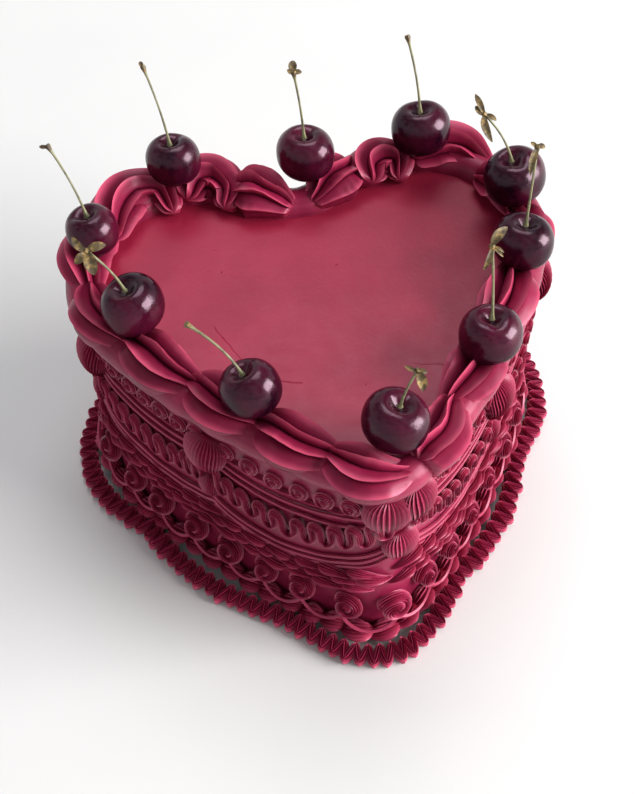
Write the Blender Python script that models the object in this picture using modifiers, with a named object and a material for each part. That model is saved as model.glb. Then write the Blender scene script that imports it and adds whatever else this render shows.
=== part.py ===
"""Heart-shaped celebration cake with piped icing and ten fresh cherries on stems.

The iced cake carries all the piping of its side. A border of large shells lies round its top
edge, a ruffle lies round its foot, and the cherries are pressed into the shells.
Metres, +Z up, the tip of the heart towards -Y, the outline symmetric about X = 0. The middle
of the foot ruffle's extent is the origin, and the cake stands on Z = 0.
"""
import bisect
import math
import random

import bmesh
import bpy
from mathutils import Vector

# Outline of the iced wall: each half is a notch arc, a lobe arc, a side arc and a tip arc
LOBE_RADIUS = 0.0533
LOBE_X = 0.052
LOBE_TO_TIP = 0.1088
TIP_RADIUS = 0.020
SIDE_RADIUS = 0.312
NOTCH_RADIUS = 0.026
CAKE_HEIGHT = 0.129
WALL_FACES = 48

# The foot ruffle: outer foot, ridge and inner foot of its section at the point of a tooth and
# between two teeth, each as distance out of the wall and height. Under the middle of each swag
# it comes in towards the wall, and its teeth are evenly spaced on its middle line
RUFFLE_TEETH = 116
RUFFLE_LINE = 0.0160
RUFFLE_AT_POINT = ((0.0225, 0.0), (0.0168, 0.0092), (0.0124, 0.0))
RUFFLE_BETWEEN = ((0.0192, 0.0), (0.0140, 0.0082), (0.0096, 0.0))
RUFFLE_PINCH = 0.0042

# Side piping hangs in swags: how far each one starts from the notch, round by +X
SWAG_STARTS = (0.0, 0.0782, 0.1541, 0.2291, 0.3073, 0.3988, 0.4755, 0.5505)
SWAGS = len(SWAG_STARTS)
TIP_SWAG = 4
SWAG_FULLNESS = 0.75

# Its bands: height at the ends of the swags, sag, and how much higher the end on the tip is
SCROLL_BAND = (0.1095, 0.0048, 0.0082)
GARLAND_BAND = (0.0854, 0.0095, 0.0210)
TUFT_BAND = (0.0475, 0.0045, 0.0140)
STRING_BANDS = (
    (0.0989, 0.0055, 0.0135),
    (0.0945, 0.0070, 0.0120),
    (0.0634, 0.0065, 0.0230),
    (0.0590, 0.0065, 0.0230),
)
STRING_RADIUS = 0.0013
STRING_OUT = 0.0005
STRING_STEPS = 6
TUFTS_A_SWAG = 6
TUFT_RADIUS = 0.0060
TUFT_WAIST = 0.0045
TUFT_OUT = -0.0012

# Scroll: angle and distance of its turns from the middle, and the rope's radius there
SCROLLS_A_SWAG = 7
SCROLL_TURNS = ((2.6, 0.0044, 0.0016), (0.7, 0.0038, 0.0024), (-1.2, 0.0036, 0.0022),
                (-3.1, 0.0026, 0.0015))
SCROLL_OUT = 0.0014

# Fan: share of its length, share of its radius, and distance out of the wall
FAN_TOP_Z = 0.1090
FAN_LIFT = 0.0090
FAN_RADIUS = 0.0110
FAN_LENGTH = 0.031
FAN_SECTIONS = ((0, 0.75, 0.000), (0.1, 1.0, 0.001), (0.55, 0.72, 0.001), (1, 0.16, 0.000))
LOWER_FAN_SIZE = 0.62
TIP_FAN_SIZE = 0.86
TIP_FAN_OFFSET = 0.0065

GARLAND_TEETH = 10
GARLAND_SHARE = 0.90
GARLAND_HALF = 0.0088
GARLAND_CREST_OUT = 0.0075
GARLAND_EDGE_OUT = 0.0040
GARLAND_DEPTH = 0.0015

ROSETTES = 30
ROSETTE_START = 0.75
ROSETTE_Z = 0.0262
ROSETTE_RADIUS = 0.0076
ROSETTE_SHOULDER = 0.0075
ROSETTE_REACH = 0.0125
ROSETTE_TIP_SHARE = 0.5
DRAPE_Z = 0.0265
DRAPE_SAG = 0.0115
DRAPE_RADIUS = 0.0014
DRAPE_OUT = 0.0045
DRAPE_WIDTH = 1.1

FOOT_SHELLS = 40
FOOT_SHELL_Z = 0.0098
FOOT_SHELL_OUT = 0.0010
FOOT_SHELL_RADIUS = 0.0055
FOOT_SHELL_WAIST = 0.0034

# Shell border on the top edge: a thick band, and the shells on it
BAND_RADIUS = 0.0085
BAND_INSET = 0.0022
BAND_LEAN = 0.0020
BAND_Z = 0.1290
SHELL_Z = 0.1360
SHELL_DROP = 0.0040
SHELL_FLATNESS = 0.92
SHELL_RINGS = (0.0, 0.04, 0.20, 0.40, 0.62, 0.84, 1.0)
SHELL_END = 0.35

# Fullness of a shell: share of its width at the head, where it is widest, share at the tail
LEAF = (0.36, 0.42, 0.30)

# Shells along the wall: distances of head and tail from the heart's tip, negative on the -X
# half, how far inside the wall each end lies, half the width, and the fullness
WALL_SHELLS = (
    (0.208, 0.168, 0.0090, 0.0090, 0.0115, LEAF),
    (0.172, 0.126, 0.0080, 0.0070, 0.0120, LEAF),
    (0.132, 0.080, 0.0055, 0.0055, 0.0118, LEAF),
    (0.086, 0.043, 0.0065, 0.0055, 0.0125, LEAF),
    (0.013, 0.050, -0.0010, 0.0050, 0.0120, (0.80, 0.35, 0.34)),
    (-0.214, -0.166, 0.0020, 0.0020, 0.0120, LEAF),
    (-0.172, -0.128, 0.0020, 0.0020, 0.0120, LEAF),
    (-0.136, -0.090, 0.0030, 0.0030, 0.0125, LEAF),
    (-0.098, -0.057, 0.0035, 0.0035, 0.0125, LEAF),
    (-0.063, -0.022, 0.0035, 0.0030, 0.0125, LEAF),
    (-0.030, 0.009, 0.0030, -0.0005, 0.0120, LEAF),
)

# Shells that leave the wall: spine in plan from the middle of the lobes' centres, half the
# width, and the fullness. A tight curl is two of them, one for each half of its turn
CURL_START = (0.50, 0.50, 0.70)
CURL_END = (0.70, 0.40, 0.40)
FREE_SHELLS = (
    (((0.029, 0.043), (0.017, 0.036), (0.005, 0.027)), 0.0125, (0.50, 0.35, 0.34)),
    (((0.0362, 0.030), (0.0385, 0.038), (0.0430, 0.0455)), 0.0110, CURL_START),
    (((0.0440, 0.0455), (0.0485, 0.041), (0.0500, 0.031)), 0.0110, CURL_END),
    (((0.058, 0.046), (0.073, 0.048), (0.086, 0.043), (0.094, 0.031)), 0.0120, (0.70, 0.35, 0.30)),
    (((-0.089, 0.024), (-0.085, 0.040), (-0.0750, 0.0505)), 0.0120, CURL_START),
    (((-0.0770, 0.0510), (-0.063, 0.050), (-0.058, 0.036)), 0.0120, CURL_END),
    (((-0.051, 0.041), (-0.0475, 0.048), (-0.0420, 0.0520)), 0.0115, CURL_START),
    (((-0.0410, 0.0515), (-0.0345, 0.044), (-0.0335, 0.033)), 0.0112, CURL_END),
    (((-0.026, 0.042), (-0.016, 0.036), (-0.004, 0.026)), 0.0130, (0.62, 0.30, 0.36)),
)

# Fit between pieces that touch
GAP = 0.0003

# The narrowest face that a join may leave
SLIVER = 0.00003

# Unevenness of hand piping, the share of the joined meshes' faces that is kept, and the height
# above which the iced cake keeps them all
SLIP = 0.0006
SIZE_SPREAD = 0.05
CAKE_FACES_KEPT = 0.42
SPARED_Z = 0.120
BORDER_FACES_KEPT = 0.44

# Cherry: place from the middle of the lobes' centres, diameter, reach of the stem's end from
# the dimple, and number of dried bracts
CHERRY_Z = 0.150
CHERRY_PROFILE = ((0.0, 0.62), (0.30, 0.84), (0.72, 0.80), (1.0, 0.18), (0.74, -0.62), (0.0, -0.90))
CHERRY_STEPS = 10
CHERRY_LEAN = 0.9
STEM_FOOT = 0.31
STEM_BEND = 0.5
STEM_RADII = (0.0012, 0.0008, 0.0007, 0.0007, 0.0008, 0.0015)
BRACT_LENGTH = 0.0075
BRACT_RADII = (0.0005, 0.0014, 0.0004)
CHERRIES = (
    ((-0.054, 0.053), 0.0252, (-0.0065, 0.0154, 0.0346), 0),
    ((-0.0966, 0.0176), 0.0240, (-0.0107, 0.0149, 0.0311), 0),
    ((-0.086, -0.0292), 0.0271, (-0.0130, 0.0058, 0.0225), 4),
    ((-0.0471, -0.0839), 0.0252, (-0.0188, 0.0154, 0.0194), 0),
    ((0.0062, 0.0427), 0.0269, (-0.0026, 0.0093, 0.0316), 2),
    ((0.063, 0.0461), 0.0272, (-0.0045, 0.0137, 0.0346), 0),
    ((0.0955, 0.0052), 0.0280, (-0.0135, 0.0083, 0.0242), 3),
    ((0.0859, -0.0337), 0.0263, (0.0048, 0.0124, 0.0350), 2),
    ((0.0555, -0.0803), 0.0262, (0.0004, 0.0123, 0.0318), 3),
    ((0.0051, -0.113), 0.0270, (0.0071, 0.0026, 0.0185), 3),
)

LOBE_Y = (LOBE_TO_TIP + TIP_RADIUS - LOBE_RADIUS) / 2


def circle_between(first, first_distance, second, second_distance):
    """The point at two given distances from two points, on the -X side."""
    line = second - first
    gap = line.length
    reach = (first_distance ** 2 - second_distance ** 2 + gap ** 2) / (2 * gap)
    rise = math.sqrt(first_distance ** 2 - reach ** 2)
    across = Vector((line.y, -line.x)) / gap
    if across.x > 0:
        across = -across
    return first + line * (reach / gap) + across * rise


def angle_of(vector):
    return math.atan2(vector.y, vector.x)


def half_outline():
    """Arcs of the +X half from notch to tip: centre, radius, first angle, last angle, side."""
    lobe = Vector((LOBE_X, LOBE_Y))
    tip = Vector((0.0, LOBE_Y - LOBE_TO_TIP))
    rise = math.sqrt((LOBE_RADIUS + NOTCH_RADIUS) ** 2 - LOBE_X ** 2)
    notch = Vector((0.0, LOBE_Y + rise))
    side = circle_between(lobe, SIDE_RADIUS - LOBE_RADIUS, tip, SIDE_RADIUS - TIP_RADIUS)
    down = -math.pi / 2
    lobe_end = angle_of(lobe - side)
    side_end = angle_of(tip - side)
    return (
        (notch, NOTCH_RADIUS, down, angle_of(lobe - notch), -1),
        (lobe, LOBE_RADIUS, angle_of(notch - lobe), lobe_end, 1),
        (side, SIDE_RADIUS, lobe_end, side_end, 1),
        (tip, TIP_RADIUS, side_end, down, 1),
    )


ARCS = half_outline()
HALF_LENGTH = sum(arc[1] * abs(arc[3] - arc[2]) for arc in ARCS)
PERIMETER = 2 * HALF_LENGTH


def on_wall(along, out, z):
    """A point of the flat piping pattern, bent round the wall: along it, out of it, up it."""
    along = along % PERIMETER
    side = 1
    if along > HALF_LENGTH:
        along = PERIMETER - along
        side = -1
    for centre, radius, first, last, facing in ARCS:
        length = radius * abs(last - first)
        if along <= length or centre == ARCS[-1][0]:
            break
        along -= length
    angle = first + (last - first) * min(along / length, 1)
    reach = radius + facing * out
    x = centre.x + reach * math.cos(angle)
    y = centre.y + reach * math.sin(angle)
    return Vector((side * x, y, z))


def collection(name):
    made = bpy.data.collections.new(name)
    bpy.context.scene.collection.children.link(made)
    return made


def material(name, colour, roughness, coat=0.0):
    made = bpy.data.materials.new(name)
    made.use_nodes = True
    shader = made.node_tree.nodes["Principled BSDF"]
    shader.inputs["Base Color"].default_value = (*colour, 1)
    shader.inputs["Roughness"].default_value = roughness
    shader.inputs["Metallic"].default_value = 0.0
    shader.inputs["Coat Weight"].default_value = coat
    return made


def add_object(name, data, into):
    made = bpy.data.objects.new(name, data)
    into.objects.link(made)
    return made


def remove_object(gone):
    bpy.data.objects.remove(gone, do_unlink=True)


def finish(made, paint):
    made.data.materials.clear()
    made.data.materials.append(paint)
    made.data.shade_smooth()
    made.data.set_sharp_from_angle(angle=math.radians(35))


def welded(mesh):
    """The mesh with its caps joined on and its faces pointing out."""
    shape = bmesh.new()
    shape.from_mesh(mesh)
    bmesh.ops.remove_doubles(shape, verts=shape.verts, dist=0.00001)
    bmesh.ops.recalc_face_normals(shape, faces=shape.faces)
    shape.to_mesh(mesh)
    shape.free()
    return mesh


def evaluated_mesh(made):
    graph = bpy.context.evaluated_depsgraph_get()
    return bpy.data.meshes.new_from_object(made.evaluated_get(graph))


def star_nozzle(name, ridges, depth):
    """Section of a star nozzle, of unit radius, with its valleys that much shallower."""
    data = bpy.data.curves.new(name, 'CURVE')
    data.dimensions = '2D'
    spline = data.splines.new('POLY')
    spline.points.add(2 * ridges - 1)
    for index, point in enumerate(spline.points):
        angle = math.pi * index / ridges
        radius = 1 - depth * (index % 2)
        point.co = (radius * math.cos(angle), radius * math.sin(angle), 0, 1)
    spline.use_cyclic_u = True
    return add_object(name, data, guides)


def piped(points, radii, nozzle=None, sides=4, closed=False, twist=0.0):
    """Mesh of icing piped along the points, through a nozzle or a round tip."""
    data = bpy.data.curves.new("piped", 'CURVE')
    data.dimensions = '3D'
    data.twist_mode = 'MINIMUM'
    data.use_fill_caps = True
    if nozzle:
        data.bevel_mode = 'OBJECT'
        data.bevel_object = nozzle
    else:
        data.bevel_depth = 1.0
        data.bevel_resolution = (sides - 4) // 2
    spline = data.splines.new('POLY')
    spline.points.add(len(points) - 1)
    for index, (point, place) in enumerate(zip(spline.points, points)):
        point.co = (*place, 1)
        point.radius = radii[index]
        point.tilt = twist * index
    spline.use_cyclic_u = closed
    stroke = add_object("piped", data, guides)
    mesh = evaluated_mesh(stroke)
    remove_object(stroke)
    return welded(mesh)


def bent(mesh, along, z, size=1.0, mirror=1):
    """A copy of a flat piece (X along the wall, Y out of it, Z up) laid on the wall."""
    copy = mesh.copy()
    along += hand.uniform(-SLIP, SLIP)
    z += hand.uniform(-SLIP, SLIP)
    size *= hand.uniform(1 - SIZE_SPREAD, 1 + SIZE_SPREAD)
    for vertex in copy.vertices:
        place = vertex.co * size
        vertex.co = on_wall(along + mirror * place.x, place.y, z + place.z)
    if mirror < 0:
        copy.flip_normals()
    return copy


def shed_slivers(shape):
    """Where two triangles lie back to back on one bent edge, the bend's point goes."""
    again = True
    while again:
        again = False
        for edge in shape.edges:
            tips = [vertex for face in edge.link_faces for vertex in face.verts
                    if vertex not in edge.verts]
            doubled = [tip for tip in tips if tips.count(tip) > 1]
            if doubled:
                bend = doubled[0]
                near = min(edge.verts, key=lambda vertex: (vertex.co - bend.co).length)
                bmesh.ops.weld_verts(shape, targetmap={bend: near})
                again = True
                break


def largest_body(made):
    """Keeps the outer skin of the largest body, so sealed hollows fill and scraps go."""
    shape = bmesh.new()
    shape.from_mesh(made.data)
    bmesh.ops.dissolve_degenerate(shape, dist=SLIVER, edges=shape.edges)
    bmesh.ops.triangulate(shape, faces=shape.faces)
    shed_slivers(shape)
    waiting = set(shape.faces)
    bodies = []
    while waiting:
        body = [waiting.pop()]
        for face in body:
            for edge in face.edges:
                for other in edge.link_faces:
                    if other in waiting:
                        waiting.remove(other)
                        body.append(other)
        volume = 0.0
        for face in body:
            volume += face.calc_center_median().dot(face.normal) * face.calc_area() / 3
        bodies.append((volume, body))
    largest = max(bodies, key=lambda entry: entry[0])[1]
    scraps = set(shape.faces) - set(largest)
    bmesh.ops.delete(shape, geom=list(scraps), context='FACES')
    loose = [edge for edge in shape.edges if not edge.link_faces]
    bmesh.ops.delete(shape, geom=loose, context='EDGES')
    pinholes = [edge for edge in shape.edges if edge.is_boundary]
    bmesh.ops.holes_fill(shape, edges=pinholes)
    shape.to_mesh(made.data)
    shape.free()


def apply_modifier(made, modifier):
    with bpy.context.temp_override(object=made):
        bpy.ops.object.modifier_apply(modifier=modifier.name)


def combine(made, meshes, operation='UNION', solver='EXACT'):
    """Joins the meshes to an object, or cuts them from it, by one Boolean on a collection."""
    group = collection("operands")
    for mesh in meshes:
        operand = add_object("operand", mesh, group)
        operand.hide_render = True
        operand.display_type = 'WIRE'
    modifier = made.modifiers.new("combine", 'BOOLEAN')
    modifier.operation = operation
    modifier.operand_type = 'COLLECTION'
    modifier.collection = group
    modifier.solver = solver
    apply_modifier(made, modifier)
    for operand in list(group.objects):
        remove_object(operand)
    bpy.data.collections.remove(group)
    largest_body(made)


def thin_out(made, kept, below=math.inf):
    """Merges the slivers that a Boolean leaves, down to the share of faces kept."""
    group = made.vertex_groups.new(name="thinned")
    thinned = [vertex.index for vertex in made.data.vertices if vertex.co.z < below]
    group.add(thinned, 1.0, 'REPLACE')
    modifier = made.modifiers.new("thin_out", 'DECIMATE')
    modifier.ratio = kept
    modifier.vertex_group = group.name
    apply_modifier(made, modifier)
    made.vertex_groups.clear()


def heart_prism(out, low, high):
    """A solid heart, its wall at that distance out of the iced wall."""
    data = bpy.data.curves.new("heart", 'CURVE')
    data.dimensions = '2D'
    data.fill_mode = 'BOTH'
    data.extrude = (high - low) / 2
    spline = data.splines.new('POLY')
    spline.points.add(WALL_FACES - 1)
    for index, point in enumerate(spline.points):
        place = on_wall(PERIMETER * index / WALL_FACES, out, 0)
        point.co = (place.x, place.y, 0, 1)
    spline.use_cyclic_u = True
    outline = add_object("heart", data, guides)
    mesh = evaluated_mesh(outline)
    remove_object(outline)
    for vertex in mesh.vertices:
        vertex.co.z += (low + high) / 2
    return welded(mesh)


def swag_place(swag):
    """How far along the wall a count of swags reaches."""
    starts = (*SWAG_STARTS, PERIMETER)
    index = min(int(swag), SWAGS - 1)
    return starts[index] + (starts[index + 1] - starts[index]) * (swag - index)


def hung(swag, band):
    """Height of a band of piping, which hangs from swag end to swag end."""
    end, sag, lift = band
    near_tip = max(0.0, 1 - abs(swag - TIP_SWAG))
    if near_tip:
        sag += lift / 2
    return end + lift * near_tip - sag * math.sin(math.pi * (swag % 1)) ** SWAG_FULLNESS


def hung_rope(band, out, radii, steps):
    """A rope along a band all the way round the wall, its radius going through the radii."""
    points = []
    for index in range(SWAGS * steps):
        swag = index / steps
        points.append(on_wall(swag_place(swag), out, hung(swag, band)))
    return piped(points, [radii[index % len(radii)] for index in range(len(points))], closed=True)


def foot_rope():
    """The shells at the foot, joined end to end."""
    radii = (FOOT_SHELL_RADIUS, FOOT_SHELL_WAIST)
    steps = len(radii) * FOOT_SHELLS
    points = [on_wall(PERIMETER * index / steps, FOOT_SHELL_OUT, FOOT_SHELL_Z)
              for index in range(steps)]
    return piped(points, [radii[index % len(radii)] for index in range(steps)], closed=True)


def scroll_piece():
    """A small curl of star-nozzle icing, with its fat start at the top."""
    points = [(math.cos(angle) * reach, SCROLL_OUT, math.sin(angle) * reach)
              for angle, reach, radius in SCROLL_TURNS]
    return piped(points, [radius for angle, reach, radius in SCROLL_TURNS])


def rosette_piece():
    """A swirl pressed straight out of the wall, turning as it narrows."""
    points = [(0, out, 0) for out in (-ROSETTE_RADIUS / 4, ROSETTE_SHOULDER, ROSETTE_REACH)]
    radii = [ROSETTE_RADIUS * share for share in (1, 1, ROSETTE_TIP_SHARE)]
    return piped(points, radii, nozzle=rosette_nozzle, twist=0.55)


def fan_piece():
    """A ridged shell that narrows to a point below it."""
    points = [(0, out, -FAN_LENGTH * share) for share, size, out in FAN_SECTIONS]
    radii = [FAN_RADIUS * size for share, size, out in FAN_SECTIONS]
    return piped(points, radii, nozzle=fan_nozzle)


def garland_piece(swag):
    """A zigzag ribbon in one swag: its crests run to and fro between its two edges."""
    shape = bmesh.new()
    columns = 2 * GARLAND_TEETH
    outs = (GARLAND_CREST_OUT, GARLAND_EDGE_OUT)
    rows = []
    for index in range(columns + 1):
        place = swag + 0.5 + GARLAND_SHARE * (index / columns - 0.5)
        along = swag_place(place)
        middle = hung(place, GARLAND_BAND)
        column = []
        for edge, out in ((1, outs[index % 2]), (-1, outs[1 - index % 2])):
            z = middle + edge * GARLAND_HALF
            column.append(shape.verts.new(on_wall(along, out, z)))
            column.append(shape.verts.new(on_wall(along, -GARLAND_DEPTH, z)))
        rows.append(column)
    for index in range(columns):
        top, top_back, low, low_back = rows[index]
        next_top, next_top_back, next_low, next_low_back = rows[index + 1]
        if index % 2:
            shape.faces.new((top, low, next_top))
            shape.faces.new((low, next_low, next_top))
        else:
            shape.faces.new((top, low, next_low))
            shape.faces.new((top, next_low, next_top))
        shape.faces.new((top, next_top, next_top_back, top_back))
        shape.faces.new((low, low_back, next_low_back, next_low))
        shape.faces.new((top_back, next_top_back, next_low_back, low_back))
    for top, top_back, low, low_back in (rows[0], rows[-1]):
        shape.faces.new((top, top_back, low_back, low))
    bmesh.ops.recalc_face_normals(shape, faces=shape.faces)
    mesh = bpy.data.meshes.new("garland")
    shape.to_mesh(mesh)
    shape.free()
    return mesh


def drape_piece():
    """A string that hangs from one rosette to the next."""
    width = DRAPE_WIDTH * PERIMETER / ROSETTES
    steps = 4
    points = []
    for index in range(steps + 1):
        share = index / steps
        drop = DRAPE_SAG * (1 - (2 * share - 1) ** 2) ** 0.8
        points.append((width * (share - 0.5), DRAPE_OUT, -drop))
    return piped(points, [DRAPE_RADIUS] * len(points))


def fans():
    """A fan over a smaller one where two swags meet, and two side by side at the tip."""
    fan = fan_piece()
    pieces = []
    for swag, start in enumerate(SWAG_STARTS):
        if swag == TIP_SWAG:
            top = FAN_TOP_Z + FAN_LIFT
            for side in (-1, 1):
                place = start + side * TIP_FAN_OFFSET
                pieces.append(bent(fan, place, top, size=TIP_FAN_SIZE))
        else:
            top = FAN_TOP_Z
            pieces.append(bent(fan, start, top))
        pieces.append(bent(fan, start, top - FAN_LENGTH, size=LOWER_FAN_SIZE))
    return pieces


def side_piping():
    """Every piece on the wall, from the scrolls at the top to the shells at the foot."""
    scroll = scroll_piece()
    rosette = rosette_piece()
    drape = drape_piece()
    pieces = fans()
    for swag in range(SWAGS):
        pieces.append(garland_piece(swag))
        for index in range(SCROLLS_A_SWAG):
            place = swag + (index + 0.75) / (SCROLLS_A_SWAG + 0.5)
            pieces.append(bent(scroll, swag_place(place), hung(place, SCROLL_BAND)))
    for index in range(ROSETTES):
        along = PERIMETER * (index + ROSETTE_START) / ROSETTES
        pieces.append(bent(rosette, along, ROSETTE_Z))
        pieces.append(bent(drape, along + PERIMETER / ROSETTES / 2, DRAPE_Z))
    for band in STRING_BANDS:
        pieces.append(hung_rope(band, STRING_OUT, (STRING_RADIUS,), STRING_STEPS))
    tufts = (TUFT_RADIUS, TUFT_WAIST)
    pieces.append(hung_rope(TUFT_BAND, TUFT_OUT, tufts, len(tufts) * TUFTS_A_SWAG))
    pieces.append(foot_rope())
    return pieces


def iced_cake():
    made = add_object("iced_cake", heart_prism(0, 0, CAKE_HEIGHT), parts)
    combine(made, side_piping())
    thin_out(made, CAKE_FACES_KEPT, below=SPARED_Z)
    finish(made, icing)
    return made


def even_places(count, out):
    """Distances along the wall of points that lie evenly spaced on a line that far out of it."""
    steps = 12 * count
    alongs = [PERIMETER * step / steps for step in range(steps + 1)]
    spots = [Vector(on_wall(along, out, 0.0)) for along in alongs]
    reached = [0.0]
    for spot, after in zip(spots, spots[1:]):
        reached.append(reached[-1] + (after - spot).length)
    places = []
    for index in range(count):
        wanted = reached[-1] * index / count
        step = bisect.bisect_right(reached, wanted) - 1
        share = (wanted - reached[step]) / (reached[step + 1] - reached[step])
        places.append(PERIMETER * (step + share) / steps)
    return places


def swag_at(along):
    """The count of swags that a distance along the wall has reached."""
    ends = (*SWAG_STARTS, PERIMETER)
    swag = bisect.bisect_right(ends, along) - 1
    return swag + (along - ends[swag]) / (ends[swag + 1] - ends[swag])


def foot_ruffle():
    """A scalloped ring of zigzag icing round the foot: its strokes turn at outer teeth."""
    shape = bmesh.new()
    columns = []
    count = 2 * RUFFLE_TEETH
    for index, along in enumerate(even_places(count, RUFFLE_LINE)):
        pinch = RUFFLE_PINCH * (1 - abs(math.cos(math.pi * swag_at(along))))
        section = RUFFLE_BETWEEN if index % 2 else RUFFLE_AT_POINT
        columns.append([shape.verts.new(on_wall(along, out - pinch, z)) for out, z in section])
    for index, column in enumerate(columns):
        after = columns[(index + 1) % count]
        for corner in range(len(column)):
            other = (corner + 1) % len(column)
            shape.faces.new((column[corner], after[corner], after[other], column[other]))
    bmesh.ops.recalc_face_normals(shape, faces=shape.faces)
    mesh = bpy.data.meshes.new("foot_ruffle")
    shape.to_mesh(mesh)
    shape.free()
    made = add_object("foot_ruffle", mesh, parts)
    finish(made, icing)
    return made


def smooth_point(points, share):
    """A point of the smooth curve through the points."""
    points = [Vector(point) for point in points]
    points = [2 * points[0] - points[1], *points, 2 * points[-1] - points[-2]]
    spans = len(points) - 3
    index = min(int(share * spans), spans - 1)
    share = share * spans - index
    before, first, second, after = points[index:index + 4]
    return 0.5 * (2 * first + (second - before) * share
                  + (2 * before - 5 * first + 4 * second - after) * share ** 2
                  + (3 * first - before - 3 * second + after) * share ** 3)


def border_shell(plan, width, fullness):
    """One large shell: narrow at its head, full by its middle, drawn out to a tail."""
    head, widest, tail = fullness
    points = []
    radii = []
    for place, share in zip(plan, SHELL_RINGS):
        if share < widest:
            swell = head + (1 - head) * math.sin(math.pi / 2 * share / widest)
        else:
            swell = tail + (1 - tail) * math.cos(math.pi / 2 * (share - widest) / (1 - widest))
        end = SHELL_END if share in (0.0, 1.0) else 1.0
        points.append((place.x, place.y, -SHELL_DROP * (1 - swell)))
        radii.append(width * swell * end)
    mesh = piped(points, radii, nozzle=shell_nozzle)
    for vertex in mesh.vertices:
        vertex.co.z = SHELL_Z + SHELL_FLATNESS * vertex.co.z
    return mesh


def wall_shell(head, tail, head_inset, tail_inset, width, fullness):
    """A shell that follows the wall."""
    plan = []
    for share in SHELL_RINGS:
        along = HALF_LENGTH - (head + (tail - head) * share)
        plan.append(on_wall(along, -head_inset - (tail_inset - head_inset) * share, 0.0))
    return border_shell(plan, width, fullness)


def free_shell(spine, width, fullness):
    """A shell on a curve of its own."""
    middle = Vector((0.0, LOBE_Y))
    plan = [smooth_point(spine, share) + middle for share in SHELL_RINGS]
    return border_shell(plan, width, fullness)


def cherry_centre(place):
    return Vector((place[0], place[1] + LOBE_Y, CHERRY_Z))


def cherry_axis(reach):
    """A cherry leans a little to the side that its stem points to."""
    return (Vector((0, 0, 1)) + Vector(reach).normalized() * CHERRY_LEAN).normalized()


def cherry_ball(size, grow):
    """A turned cherry: broad shoulders round the stem's dimple, narrower below."""
    radius = size / 2
    data = bpy.data.meshes.new("cherry")
    data.from_pydata([(x * radius, 0, z * radius) for x, z in CHERRY_PROFILE],
                     [(index, index + 1) for index in range(len(CHERRY_PROFILE) - 1)], [])
    made = add_object("cherry", data, guides)
    screw = made.modifiers.new("turn", 'SCREW')
    screw.steps = CHERRY_STEPS
    screw.render_steps = CHERRY_STEPS
    screw.use_merge_vertices = True
    screw.merge_threshold = 0.00001
    mesh = evaluated_mesh(made)
    remove_object(made)
    mesh = welded(mesh)
    if grow:
        for vertex in mesh.vertices:
            vertex.co *= 1 + grow / (radius * 0.7)
    return mesh


def placed_cherry(place, size, reach, grow=0.0):
    mesh = cherry_ball(size, grow)
    turn = Vector((0, 0, 1)).rotation_difference(cherry_axis(reach)).to_matrix().to_4x4()
    mesh.transform(turn)
    centre = cherry_centre(place)
    for vertex in mesh.vertices:
        vertex.co += centre
    return mesh


def border_band():
    """The thick band under the shells, a little further out on the -X half."""
    points = []
    for index in range(WALL_FACES):
        along = PERIMETER * index / WALL_FACES
        lean = BAND_LEAN * math.sin(2 * math.pi * index / WALL_FACES)
        points.append(on_wall(along, -BAND_INSET - lean, BAND_Z))
    return piped(points, [BAND_RADIUS] * WALL_FACES, sides=6, closed=True)


def shell_border():
    made = add_object("shell_border", border_band(), parts)
    shells = [wall_shell(*shell) for shell in WALL_SHELLS]
    shells += [free_shell(*shell) for shell in FREE_SHELLS]
    combine(made, shells)
    thin_out(made, BORDER_FACES_KEPT)
    sockets = [placed_cherry(place, size, reach, GAP) for place, size, reach, bracts in CHERRIES]
    combine(made, [heart_prism(GAP, 0, CAKE_HEIGHT + GAP)] + sockets, 'DIFFERENCE')
    finish(made, icing)
    return made


def stem_bract(end, direction, turn):
    """A small dried leaf at the stem's end."""
    side = direction.orthogonal().normalized()
    across = direction.cross(side)
    lean = side * math.cos(turn) + across * math.sin(turn)
    reach = (lean * 0.8 + direction * 0.3).normalized() * BRACT_LENGTH
    points = [end - reach * 0.08, end + reach * 0.47, end + reach]
    return piped(points, BRACT_RADII)


def cherry_stem(number, place, size, reach, bracts):
    """A stem from just above the dimple to its end, curving as it goes."""
    axis = cherry_axis(reach)
    foot = cherry_centre(place) + axis * (size * STEM_FOOT + 4 * GAP)
    end = foot + Vector(reach)
    knee = foot + axis * Vector(reach).length * STEM_BEND
    points = []
    for index in range(len(STEM_RADII)):
        share = index / (len(STEM_RADII) - 1)
        points.append((1 - share) ** 2 * foot + 2 * share * (1 - share) * knee + share ** 2 * end)
    made = add_object(f"stem_{number:02d}", piped(points, STEM_RADII, sides=6), parts)
    direction = (points[-1] - points[-2]).normalized()
    leaves = []
    for index in range(bracts):
        turn = 2.3 * index + 0.7 * number
        leaves.append(stem_bract(points[-1], direction, turn))
    if leaves:
        combine(made, leaves)
    finish(made, stalk)
    return made


for old in list(bpy.data.objects):
    remove_object(old)

hand = random.Random(9)
parts = collection("heart_cake")
guides = collection("guides")
icing = material("red_icing", (0.36, 0.03, 0.075), 0.45)
skin = material("cherry_skin", (0.045, 0.006, 0.012), 0.15, coat=0.6)
stalk = material("cherry_stalk", (0.26, 0.22, 0.09), 0.6)

rosette_nozzle = star_nozzle("rosette_nozzle", 5, 0.25)
fan_nozzle = star_nozzle("fan_nozzle", 5, 0.22)
shell_nozzle = star_nozzle("shell_nozzle", 5, 0.34)

iced_cake()
foot_ruffle()
shell_border()
for count, (place, size, reach, bracts) in enumerate(CHERRIES, start=1):
    cherry = add_object(f"cherry_{count:02d}", placed_cherry(place, size, reach), parts)
    finish(cherry, skin)
    cherry_stem(count, place, size, reach, bracts)

for nozzle in (rosette_nozzle, fan_nozzle, shell_nozzle):
    remove_object(nozzle)
bpy.data.collections.remove(guides)
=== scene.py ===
import math
import random

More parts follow.
